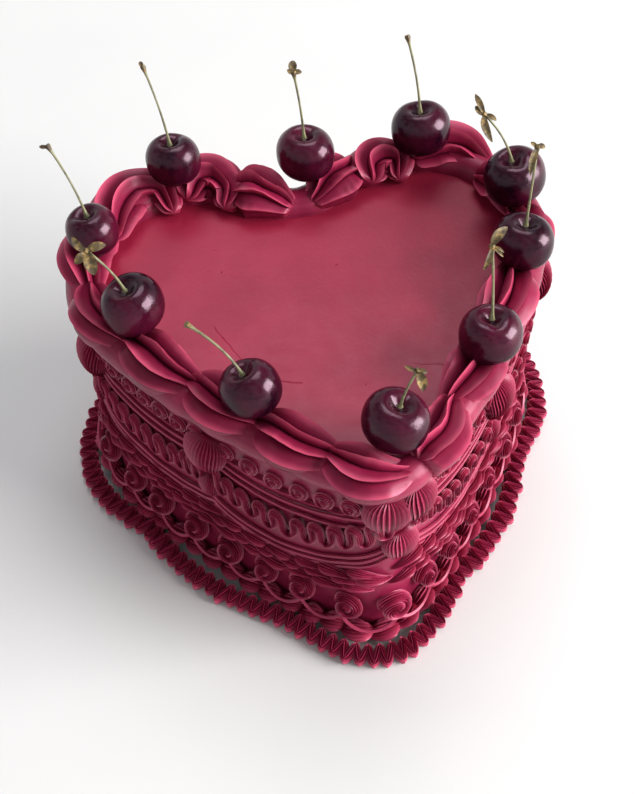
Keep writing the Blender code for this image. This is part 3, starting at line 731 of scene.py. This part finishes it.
# Drapes: thin strings of icing let down in deep loops from rosette to rosette, over the foot of
# the wall.
DRAPE_Z = 0.0250
DRAPE_SAG = 0.0100
DRAPE_SAG_SPREAD = (0.86, 1.08)
DRAPE_WIDTH = 1.12
DRAPE_OUT = 0.0055
DRAPE_BELLY = 0.0025
DRAPE_RADIUS = 0.0009
DRAPE_STEPS = 26
DRAPE_NOZZLE = (5, 0.14)


def drape(sag):
    """One loop, a little wider than the gap, so that neighbours cross at the rosettes."""
    width = PERIMETER / ROSETTES * DRAPE_WIDTH
    share = np.linspace(0, 1, DRAPE_STEPS)
    fall = (1 - (2 * share - 1) ** 2) ** 0.8
    path = np.stack([width * (share - 0.5), DRAPE_OUT + DRAPE_BELLY * fall, -sag * fall], 1)
    return stroke(path, DRAPE_RADIUS, star(*DRAPE_NOZZLE), OUTWARD)


drapes = []
for count in range(ROSETTES):
    along = PERIMETER * (count + ROSETTE_START + 0.5) / ROSETTES
    drapes.append(laid(drape(DRAPE_SAG * hand.uniform(*DRAPE_SAG_SPREAD)), along, DRAPE_Z))
add_piping("drapes", drapes)


# Foot shells: a row of small shells of icing along the foot of the wall, piped with a star
# nozzle, each one overlapping the tail of the last.
FOOT_SHELLS = 56
FOOT_SHELL_Z = 0.0070
FOOT_SHELL_RADIUS = 0.0056
FOOT_SHELL_LENGTH = 0.0150
FOOT_SHELL_HEAD = 0.4
FOOT_SHELL_OUT = 0.0014
FOOT_SHELL_BULGE = 0.0032
FOOT_SHELL_ARCH = 0.0012
FOOT_SHELL_STEPS = 17
FOOT_SHELL_NOZZLE = (17, 0.34)
FOOT_SHELL_WIDTHS = ((0, 0.3), (0.06, 0.62), (0.15, 0.9), (0.3, 1.0), (0.6, 0.62), (1, 0.12))


def foot_shell():
    """A shell that rises, bulges and runs out to a thin tail."""
    share = np.linspace(0, 1, FOOT_SHELL_STEPS)
    x = FOOT_SHELL_LENGTH * (share - FOOT_SHELL_HEAD)
    out = FOOT_SHELL_OUT + FOOT_SHELL_BULGE * np.sin(math.pi * share ** 0.6)
    z = FOOT_SHELL_ARCH * np.sin(2 * math.pi * share ** 0.8)
    radii = FOOT_SHELL_RADIUS * np.interp(share, *zip(*FOOT_SHELL_WIDTHS))
    return stroke(np.stack([x, out, z], 1), radii, star(*FOOT_SHELL_NOZZLE), OUTWARD)


foot_shells = [laid(foot_shell(), PERIMETER * count / FOOT_SHELLS, FOOT_SHELL_Z, spread=0.10)
               for count in range(FOOT_SHELLS)]
add_piping("foot_shells", foot_shells)


# Foot ruffle: a tight zigzag of icing laid flat round the foot of the cake, its outer turns drawn
# out to points. It was piped in runs that bulge away from the wall and come in where they meet.
RUFFLE_TEETH = 116
RUFFLE_STEPS = 18
RUFFLE_LINE = 0.0160
RUFFLE_INNER = 0.0124
RUFFLE_OUTER = 0.0199
RUFFLE_PINCH = 0.0045
RUFFLE_WANDER = 0.0009
RUFFLE_ROUNDNESS = 0.32
RUFFLE_POINTEDNESS = 0.36
RUFFLE_BUNCHING = 0.012
RUFFLE_SWAY = 0.10
RUFFLE_SLANT = 0.10
RUFFLE_ROPE = 0.0021
RUFFLE_INNER_HALF = 0.0047
RUFFLE_OUTER_HALF = 0.0034
RUFFLE_NOZZLE = (11, 0.36)
LINE_STEPS = 4000


def even_places(shares, out):
    """Distances along the wall at those shares of the length of a line that far out of it."""
    along = np.linspace(0, PERIMETER, LINE_STEPS)
    steps = np.linalg.norm(np.diff(on_wall(along, out, 0.0), axis=0), axis=1)
    reached = np.concatenate([[0], np.cumsum(steps)])
    return np.interp(shares * reached[-1], reached, along)


def ruffle():
    """The whole zigzag as one closed stroke, tall beside the wall and low at its points."""
    count = RUFFLE_TEETH * RUFFLE_STEPS
    turn = np.arange(count) / RUFFLE_STEPS
    whole = np.arange(RUFFLE_TEETH + 1)
    wander = unsteady(RUFFLE_TEETH)
    sway = unsteady(RUFFLE_TEETH)
    wander = np.interp(turn, whole, wander + wander[:1])
    sway = np.interp(turn, whole, sway + sway[:1])
    wave = np.cos(2 * math.pi * turn)
    point = 0.5 + RUFFLE_ROUNDNESS * wave + RUFFLE_POINTEDNESS * np.arcsin(wave * 0.99) / math.pi
    pace = turn - RUFFLE_BUNCHING * np.sin(4 * math.pi * turn) + RUFFLE_SWAY * sway
    along = even_places((pace + RUFFLE_SLANT * point) / RUFFLE_TEETH % 1, RUFFLE_LINE)
    pinch = RUFFLE_PINCH * (1 - np.abs(np.cos(math.pi * swag_at(along))))
    out = (RUFFLE_INNER + (RUFFLE_OUTER - RUFFLE_INNER) * point + RUFFLE_WANDER * wander * point
           - pinch)
    radii = RUFFLE_ROPE * (1 - 0.22 * point ** 6) * (1 + 0.06 * sway)
    half = RUFFLE_INNER_HALF + (RUFFLE_OUTER_HALF - RUFFLE_INNER_HALF) * point + 0.0003 * wander
    section = np.repeat(star(*RUFFLE_NOZZLE)[None], count, 0)
    section[:, :, 1] *= (half / radii)[:, None]
    return stroke(on_wall(along, out, half), radii, section, UPWARD, closed=True)


add_piping("foot_ruffle_icing", [ruffle()], "foot_ruffle")


# Shell border: a smooth thick band of icing round the top edge, and on it large shells from an
# open star nozzle, leaves along the sides and tight curls on the lobes.
SHELL_Z = 0.1360
SHELL_DROP = 0.0040
SHELL_RINGS = 46
SHELL_FLATNESS = 0.92
SHELL_END = 0.12
SHELL_END_SHARE = 0.06
BAND_Z = CAKE_HEIGHT
BAND_STEPS = 320
BAND_RADIUS = 0.0085
BAND_INSET = 0.0022
BAND_LEAN = 0.0020
BAND_NOZZLE = (18, 0.015)
BAND_SWELL = 0.10
BAND_SWELL_SIZE = 0.009

# The crests of a shell's section from its lip round: the angle of each in degrees, its reach as a
# share of half the shell's width, and how deep the fold after it is
SHELL_CRESTS = (
    (-48, 1.12, 0.14), (8, 1.07, 0.38), (50, 1.05, 0.54), (92, 1.02, 0.56), (138, 1.04, 0.48),
    (184, 1.07, 0.16), (235, 0.80, 0.10),
)
CREST_STEPS = 8
CREST_FOLD = 0.75
CREST_WANDER = 6
CREST_RAGGEDNESS = 0.10

# The fullness of a shell: its width at its head, how far along it is widest, its width at its tail
LEAF = (0.36, 0.42, 0.30)
CURL = (0.50, 0.30, 0.36)

# A shell that follows the wall: distances of its head and tail from the heart's tip, negative
# on the left half, how far inside the wall each end lies, half its width, and its fullness
WALL_SHELLS = (
    (0.208, 0.168, 0.0090, 0.0090, 0.0115, LEAF), (0.172, 0.126, 0.0080, 0.0080, 0.0120, LEAF),
    (0.132, 0.080, 0.0075, 0.0070, 0.0125, LEAF), (0.086, 0.043, 0.0065, 0.0055, 0.0125, LEAF),
    (0.013, 0.050, -0.0010, 0.0050, 0.0120, (0.80, 0.35, 0.34)),
    (-0.214, -0.166, 0.0020, 0.0020, 0.0120, LEAF), (-0.172, -0.128, 0.0020, 0.0020, 0.0120, LEAF),
    (-0.136, -0.090, 0.0030, 0.0030, 0.0125, LEAF), (-0.098, -0.057, 0.0035, 0.0035, 0.0125, LEAF),
    (-0.063, -0.022, 0.0035, 0.0030, 0.0125, LEAF), (-0.030, 0.009, 0.0030, -0.0005, 0.0120, LEAF),
)

# A shell that leaves the wall: its spine in plan from the line between the lobes' centres, half
# its width, the side its lip is on (1 left, -1 right), and its fullness
FREE_SHELLS = (
    (((0.029, 0.043), (0.017, 0.036), (0.005, 0.027)), 0.0125, 1, (0.50, 0.35, 0.34)),
    (((0.036, 0.032), (0.037, 0.040), (0.044, 0.045), (0.051, 0.042), (0.049, 0.032)),
     0.0115, 1, CURL),
    (((0.058, 0.046), (0.073, 0.048), (0.086, 0.043), (0.094, 0.031)), 0.0120, 1,
     (0.70, 0.35, 0.30)),
    (((-0.089, 0.024), (-0.085, 0.040), (-0.075, 0.051), (-0.062, 0.050), (-0.058, 0.036)),
     0.0120, 1, CURL),
    (((-0.051, 0.042), (-0.045, 0.051), (-0.036, 0.051), (-0.031, 0.042), (-0.035, 0.033)),
     0.0120, 1, CURL),
    (((-0.026, 0.042), (-0.016, 0.036), (-0.004, 0.026)), 0.0130, -1, (0.62, 0.30, 0.36)),
)


def smooth_path(points, count):
    """A smooth curve through a stroke's points."""
    points = np.asarray(points, float)
    padded = np.vstack([2 * points[0] - points[1], points, 2 * points[-1] - points[-2]])
    spans = len(points) - 1
    at = np.linspace(0, spans, count)
    index = np.minimum(at.astype(int), spans - 1)
    share = (at - index)[:, None]
    before, first, second, after = (padded[index + shift] for shift in range(4))
    return 0.5 * (2 * first + (second - before) * share
                  + (2 * before - 5 * first + 4 * second - after) * share ** 2
                  + (3 * first - before - 3 * second + after) * share ** 3)


def crest_section(lip, crests):
    """The nozzle's section with its crests where they stand just here, the lip the first.

    Each petal runs in from its crest to a tight fold under the next one."""
    angles, reaches = [], []
    for index, (angle, reach, valley) in enumerate(crests):
        after, next_reach = crests[(index + 1) % len(crests)][:2]
        after += 360 if after < angle else 0
        for step in range(CREST_STEPS):
            share = step / CREST_STEPS
            fold = min((share / CREST_FOLD) ** 0.75, (1 - share) / (1 - CREST_FOLD))
            angles.append(math.radians(angle + (after - angle) * share))
            reaches.append((reach + (next_reach - reach) * share) * (1 - valley * fold))
    angles, reaches = np.array(angles), np.array(reaches)
    section = np.stack([-lip * reaches * np.cos(angles),
                        SHELL_FLATNESS * reaches * np.sin(angles)], 1)
    return section if lip < 0 else section[::-1]


def crest_wander(share):
    """How a crest strays along its shell, and how far it differs from shell to shell."""
    pace, start, size = hand.uniform(5, 12), hand.uniform(0, 6.28), hand.uniform(0.3, 1)
    ragged = np.sin(share * 3.1 * pace + 2.3 * start) * np.sin(share * 1.7 * pace)
    stray = size * np.sin(share * pace + start) + CREST_RAGGEDNESS * ragged
    return stray, hand.uniform(-1, 1)


def border_shell(plan, width, lip, fullness):
    """One shell: narrow at its head, full by its middle, drawn out to its tail."""
    head, widest, tail = fullness
    share = np.linspace(0, 1, SHELL_RINGS)
    swell = np.where(share < widest, head + (1 - head) * np.sin(math.pi / 2 * share / widest),
                     tail + (1 - tail) * np.cos(math.pi / 2 * (share - widest) / (1 - widest)))
    near_end = np.clip(np.minimum(share, 1 - share) / SHELL_END_SHARE, 0, 1)
    ends = np.sqrt(1 - (1 - near_end) ** 2)
    wanders = [crest_wander(share) for crest in SHELL_CRESTS]
    sections = []
    for ring in range(SHELL_RINGS):
        crests = []
        for (angle, reach, valley), (wander, own) in zip(SHELL_CRESTS, wanders):
            crests.append((angle + CREST_WANDER * wander[ring],
                           reach * (1 + 0.05 * wander[ring] + 0.03 * own),
                           valley * (1 + 0.15 * own)))
        sections.append(crest_section(lip, crests))
    path = np.column_stack([plan, SHELL_Z - SHELL_DROP * (1 - swell)])
    radii = width * swell * (SHELL_END + (1 - SHELL_END) * ends)
    return stroke(path, radii, np.stack(sections), UPWARD)


def wall_shell(head, tail, head_inset, tail_inset, width, fullness):
    """A leaf-shaped shell along the wall, its lip on the wall's side."""
    share = np.linspace(0, 1, SHELL_RINGS)
    along = HALF_LENGTH - (head + (tail - head) * share)
    inset = head_inset + (tail_inset - head_inset) * share
    plan = on_wall(along, -inset - 0.0012 * np.cos(2 * math.pi * share), 0.0)[:, :2]
    return border_shell(plan, width, 1 if head > tail else -1, fullness)


def free_shell(spine, width, lip, fullness):
    """A shell that runs in from the wall or curls up on a lobe."""
    plan = smooth_path(spine, SHELL_RINGS) + (0, LOBE_Y)
    return border_shell(plan, width, lip, fullness)


def edge_band():
    """The band under the shells, which leans out on the left and in on the right."""
    along = PERIMETER * np.arange(BAND_STEPS) / BAND_STEPS
    leaning = BAND_LEAN * np.sin(2 * math.pi * along / PERIMETER + math.pi)
    path = on_wall(along, leaning - BAND_INSET, BAND_Z)
    radii = BAND_RADIUS * (1 + BAND_SWELL * waver(path, BAND_SWELL_SIZE, seed=31))
    return stroke(path, radii, star(*BAND_NOZZLE), UPWARD, closed=True)


shells = [wall_shell(*shell) for shell in WALL_SHELLS]
shells += [free_shell(*shell) for shell in FREE_SHELLS]
shells.append(edge_band())
add_piping("border_shells", shells, "shell_border")


# Cherries: ten ripe dark cherries pressed into the border, each with a dimple round its stem
# and a shallow seam down one side. They lean the way that their stems point.
CHERRY_Z = 0.150
CHERRY_AROUND = 64
CHERRY_LEVELS = 44
CHERRY_LEAN = 0.9
SKIN_DARK = (0.010, 0.001, 0.005, 1)
SKIN_RED = (0.078, 0.004, 0.019, 1)
SKIN_SHEEN = (1.0, 0.70, 0.86, 1)
SKIN_ROUGHNESS = (0.08, 0.36)
# A cherry's shine runs from dim where its skin faces down to full where it faces up, over this
# range of facing, as painted shade on its underside
SKIN_SHINE = (0.04, 0.50)
SHINE_FACING = (-0.15, 0.55)

# A cherry's shape, as shares of its radius but for the exponent that squares it
CHERRY_SQUARENESS = 0.84
CHERRY_TALLNESS = 0.90
CHERRY_WIDTHS = (0.97, 1.03)
CHERRY_UNEVENNESS = 0.012
DIMPLE_DEPTH = 0.42
DIMPLE_WIDTH = 0.32
SEAM_DEPTH = 0.018
SEAM_WIDTH = 0.16
NOTCH_DEPTH = 0.090

# Each cherry's place in plan from the line between the lobes' centres, its size across, and how
# far the end of its stem is from the stem's foot
CHERRIES = (
    ((-0.054, 0.053), 0.0252, (-0.0065, 0.0154, 0.0346)),
    ((-0.0966, 0.0176), 0.0240, (-0.0107, 0.0149, 0.0311)),
    ((-0.086, -0.0292), 0.0271, (-0.0130, 0.0058, 0.0225)),
    ((-0.0471, -0.0839), 0.0252, (-0.0188, 0.0154, 0.0194)),
    ((0.0062, 0.0427), 0.0269, (-0.0026, 0.0093, 0.0316)),
    ((0.063, 0.0461), 0.0272, (-0.0045, 0.0137, 0.0346)),
    ((0.0955, 0.0052), 0.0280, (-0.0135, 0.0083, 0.0242)),
    ((0.0859, -0.0337), 0.0263, (0.0048, 0.0124, 0.0350)),
    ((0.0555, -0.0803), 0.0262, (0.0004, 0.0123, 0.0318)),
    ((0.0051, -0.113), 0.0270, (0.0071, 0.0026, 0.0185)),
)


def cherry_skin():
    """Tight skin, dark red with a purple cast, its gloss patchy with bloom, and its shine dimmed
    where it faces down, as painted shade on its underside.
    """
    paint, tree, shader, place = blank_paint("cherry_skin")
    tone = mottle(tree, place, scale=20.0, detail=6.0, roughness=0.7)
    bloom = mottle(tree, place, scale=90.0, detail=3.0)
    dents = mottle(tree, place, scale=150.0, detail=3.0)
    facing = node(tree, 'ShaderNodeSeparateXYZ',
                  Vector=node(tree, 'ShaderNodeNewGeometry').outputs["Normal"])
    shine_dimmed_below = mapped(tree, facing.outputs["Z"], SHINE_FACING, SKIN_SHINE)
    fill(tree, shader, Base_Color=ramp(tree, tone, (0.38, 0.62), (SKIN_DARK, SKIN_RED)),
         Roughness=mapped(tree, bloom, (0.0, 1.0), SKIN_ROUGHNESS),
         Normal=bumped(tree, dents, strength=0.5, depth=0.0006),
         Specular_Tint=SKIN_SHEEN, Specular_IOR_Level=shine_dimmed_below)
    return paint


def lean(reach):
    """The way that a cherry's dimple faces."""
    return (Vector((0, 0, 1)) + Vector(reach).normalized() * CHERRY_LEAN).normalized()


def cherry_points(size, seed):
    """A cherry about its own centre, its dimple up and its seam towards +X."""
    level = np.linspace(0.02, math.pi - 0.02, CHERRY_LEVELS)[:, None]
    turn = np.arange(CHERRY_AROUND)[None, :] * (2 * math.pi / CHERRY_AROUND)
    upper = np.cos(level) > 0
    reach = np.sin(level) ** CHERRY_SQUARENESS + 0 * turn
    height = np.sign(np.cos(level)) * np.abs(np.cos(level)) ** CHERRY_SQUARENESS
    z = 0.03 + CHERRY_TALLNESS * height + 0 * turn
    z -= DIMPLE_DEPTH * np.exp(-(reach / DIMPLE_WIDTH) ** 2) * upper
    off = (turn + math.pi) % (2 * math.pi) - math.pi
    seam = np.exp(-(off / SEAM_WIDTH) ** 2) * np.sin(level) ** 2
    notch = np.exp(-(off / 0.5) ** 2) * np.exp(-((reach - 0.45) / 0.25) ** 2) * upper
    reach = reach * (1 - SEAM_DEPTH * seam)
    z = z - NOTCH_DEPTH * notch
    x = reach * np.cos(turn) * CHERRY_WIDTHS[0]
    y = reach * np.sin(turn) * CHERRY_WIDTHS[1]
    points = np.stack([x, y, z], -1).reshape(-1, 3)
    uneven = 1 + CHERRY_UNEVENNESS * waver(points, 0.9, seed)
    return points * uneven[:, None] * (size / 2)


skin = cherry_skin()
cherry_faces = grid_faces(CHERRY_LEVELS, CHERRY_AROUND).tolist()
cherry_faces.append(list(range(CHERRY_AROUND)))
cherry_last = CHERRY_LEVELS * CHERRY_AROUND - 1
cherry_faces.append(list(range(cherry_last, cherry_last - CHERRY_AROUND, -1)))
for count, (place, size, reach) in enumerate(CHERRIES, start=1):
    turned = Quaternion((0, 0, 1), hand.uniform(0, 2 * math.pi))
    turned = Vector((0, 0, 1)).rotation_difference(lean(reach)) @ turned
    points = cherry_points(size, count * 7.3) @ np.array(turned.to_matrix()).T
    points += (place[0], place[1] + LOBE_Y, CHERRY_Z)
    add_piece(f"cherry_fruit_{count:02d}", points, cherry_faces, [skin], "cherry_skin",
              f"cherry_{count:02d}")


# Stems: thin green stalks that widen where they grew on the twig, some with dried brown bracts
# still on. Each sits in its cherry's dimple.
STEM_RINGS = 40
STEM_SECTION = star(6, 0.10)
STEM_FACING = np.array((0.35, 0.94, 0.0))
STEM_FOOT = 0.33
STEM_KNEE = 0.5
STEM_DRY_FROM = 0.93
STEM_RADII = ((0, 0.0014), (0.05, 0.0009), (0.14, 0.00062), (0.5, 0.0005), (0.88, 0.0006),
              (0.94, 0.0010), (0.98, 0.0015), (1, 0.0012))
STEM_GREEN = (0.235, 0.225, 0.115, 1)
STEM_OLIVE = (0.105, 0.098, 0.052, 1)
STEM_BROWN = (0.125, 0.085, 0.032, 1)
BRACT_TAN = (0.42, 0.27, 0.085, 1)
BRACT_BROWN = (0.045, 0.026, 0.014, 1)

# The bracts of a stem: the way that each points, its length, half its width and how far it
# bends to one side
BRACTS = {
    1: (((-0.30, 0.50, 0.30), 0.0030, 0.0010, 0.2),),
    2: (((-0.95, -0.10, -0.20), 0.0034, 0.0009, 0.4),),
    3: (((0.93, 0.18, 0.29), 0.0080, 0.0019, 0.2), ((-0.86, 0.54, 0.10), 0.0076, 0.0016, 0.5),
        ((0.22, -0.72, -0.62), 0.0098, 0.0027, 0.1), ((-0.55, -0.50, -0.45), 0.0066, 0.0019, 0.3)),
    5: (((-0.10, 0.82, 0.56), 0.0054, 0.0019, 0.3), ((0.84, 0.04, 0.18), 0.0036, 0.0012, 0.2),
        ((-0.80, 0.05, 0.20), 0.0030, 0.0010, 0.5)),
    7: (((-0.32, 0.79, 0.50), 0.0098, 0.0014, 0.1), ((-0.52, -0.62, -0.54), 0.0100, 0.0018, -0.75),
        ((0.82, -0.42, -0.15), 0.0056, 0.0012, 0.2), ((-0.86, 0.40, 0.10), 0.0048, 0.0015, 0.6)),
    8: (((-0.65, -0.54, -0.50), 0.0118, 0.0014, -0.3), ((-0.40, -0.74, -0.59), 0.0104, 0.0012, 0.2),
        ((-0.70, 0.30, 0.30), 0.0034, 0.0009, 0.2), ((0.60, 0.10, 0.05), 0.0030, 0.0012, 0.5)),
    9: (((0.39, 0.72, 0.58), 0.0088, 0.0020, 0.5), ((0.66, -0.66, -0.35), 0.0060, 0.0007, 0.1),
        ((-0.34, -0.75, -0.59), 0.0096, 0.0012, 0.2), ((0.85, -0.20, -0.10), 0.0050, 0.0006, 0.4)),
    10: (((-0.95, 0.32, 0.06), 0.0050, 0.0009, 0.3), ((0.89, -0.14, 0.06), 0.0036, 0.0011, 0.3),
         ((0.37, -0.80, -0.50), 0.0076, 0.0020, 0.3)),
}
BRACT_FACING = np.array((-0.15, -0.57, 0.81))
BRACT_STEPS = 14
BRACT_AROUND = 12
BRACT_ARCH = 0.12
BRACT_SETBACK = 0.001


def plant_paint(name, low, middle, high, scale):
    """Matt plant skin, streaked between three tones."""
    paint, tree, shader, place = blank_paint(name)
    tone = mottle(tree, place, scale=scale, detail=5.0, roughness=0.6)
    fill(tree, shader, Base_Color=ramp(tree, tone, (0.32, 0.52, 0.70), (low, middle, high)),
         Roughness=0.55, Normal=bumped(tree, tone, strength=0.3, depth=0.0002))
    return paint


def stem_path(foot, axis, reach):
    """The stem's middle line: up out of the dimple, then bending to its end."""
    end = foot + Vector(reach)
    knee = foot + axis * Vector(reach).length * STEM_KNEE
    share = np.linspace(0, 1, STEM_RINGS)[:, None]
    return ((1 - share) ** 2 * np.array(foot) + 2 * share * (1 - share) * np.array(knee)
            + share ** 2 * np.array(end))


def bract(end, reach, length, width, curl):
    """A small dried leaf: a thin blade with a folded midrib, curling at its tip."""
    reach = np.array(reach) / np.linalg.norm(reach)
    share = np.linspace(0, 1, BRACT_STEPS)[:, None]
    path = (np.array(end) + share * length * reach
            + share ** 2 * length * curl * np.cross(reach, BRACT_FACING)
            + np.sin(math.pi * share) * length * BRACT_ARCH * BRACT_FACING)
    radii = width * np.sin(math.pi * np.clip(0.05 + share[:, 0] * 0.93, 0, 1) ** 1.15) ** 0.75
    angles = np.arange(BRACT_AROUND) * (2 * math.pi / BRACT_AROUND)
    across = np.cos(angles)
    blade = np.stack([across, 0.10 * np.sin(angles) + 0.45 * np.abs(across) ** 1.5], 1)
    return stroke(path, radii, blade, BRACT_FACING)


stem_paint = plant_paint("cherry_stalk", STEM_OLIVE, STEM_GREEN, STEM_GREEN, 260.0)
dried_paint = plant_paint("dried_bract", BRACT_BROWN, STEM_BROWN, BRACT_TAN, 420.0)
stem_radii = np.interp(np.linspace(0, 1, STEM_RINGS), *zip(*STEM_RADII))
first_dry = STEM_DRY_FROM * (STEM_RINGS - 1) * len(STEM_SECTION)
for count, (place, size, reach) in enumerate(CHERRIES, start=1):
    axis = lean(reach)
    centre = Vector((place[0], place[1] + LOBE_Y, CHERRY_Z))
    path = stem_path(centre + axis * size * STEM_FOOT, axis, reach)
    stalk = stroke(path, stem_radii, STEM_SECTION, STEM_FACING)
    end = Vector(path[-1])
    direction = (end - Vector(path[-4])).normalized()
    leaves = [bract(end - direction * BRACT_SETBACK, *leaf) for leaf in BRACTS.get(count, ())]
    points, faces = joined([stalk] + leaves)
    piece = add_piece(f"stem_{count:02d}_green", points, faces, [stem_paint, dried_paint],
                      "cherry_stalk", f"stem_{count:02d}")
    for face in piece.data.polygons:
        face.material_index = 1 if min(face.vertices) > first_dry else 0


# Floor and light: a plain pale floor, a large soft light from the right and a weaker one
# overhead, in a pale surround with a few dark panels high up.
FLOOR_SIZE = 8
FLOOR_PALE = (0.77, 0.77, 0.76, 1)
FLOOR_SHADE = (0.74, 0.74, 0.735, 1)
FLOOR_ROUGHNESS = 0.7
SURROUND_PALE = (0.95, 0.97, 1.0, 1)
SURROUND_DARK = (0.20, 0.19, 0.20, 1)
SURROUND_STRENGTH = 0.58
PANELS_FROM = (0.20, 0.45)

# Each light's name, place, size, power and colour
LIGHTS = (
    ("key", (3.25, -1.45, 1.50), 2.6, 305.0, (1.0, 0.985, 0.97)),
    ("overhead", (0.35, 1.3, 3.0), 1.7, 38.0, (0.98, 0.98, 1.0)),
)

bpy.ops.mesh.primitive_plane_add(size=FLOOR_SIZE)
floor = bpy.context.object
floor.name = "floor"
floor_paint, tree, shader, place = blank_paint("pale_floor")
cloudy = mottle(tree, place, scale=6.0, detail=3.0)
fill(tree, shader, Base_Color=ramp(tree, cloudy, (0.3, 0.7), (FLOOR_SHADE, FLOOR_PALE)),
     Roughness=FLOOR_ROUGHNESS)
floor.data.materials.append(floor_paint)

world = bpy.data.worlds.new("surround")
world.use_nodes = True
tree = world.node_tree
way = tree.nodes.new('ShaderNodeTexCoord').outputs["Generated"]
height = node(tree, 'ShaderNodeSeparateXYZ', Vector=way).outputs["Z"]
low = mapped(tree, height, PANELS_FROM, (0.4, 0.0))
panels = mottle(tree, way, scale=2.6, detail=1.0)
pale = node(tree, 'ShaderNodeMath', 'ADD', _0=panels, _1=low).outputs[0]
fill(tree, tree.nodes["Background"], Strength=SURROUND_STRENGTH,
     Color=ramp(tree, pale, (0.44, 0.54), (SURROUND_DARK, SURROUND_PALE)))
bpy.context.scene.world = world
for name, place, size, power, colour in LIGHTS:
    data = bpy.data.lights.new(name, 'AREA')
    data.size = size
    data.energy = power
    data.color = colour
    light = bpy.data.objects.new(name, data)
    light.location = place
    light.rotation_euler = (-Vector(place)).to_track_quat('-Z', 'Y').to_euler()
    bpy.context.scene.collection.objects.link(light)
bpy.context.scene.view_settings.view_transform = 'Standard'
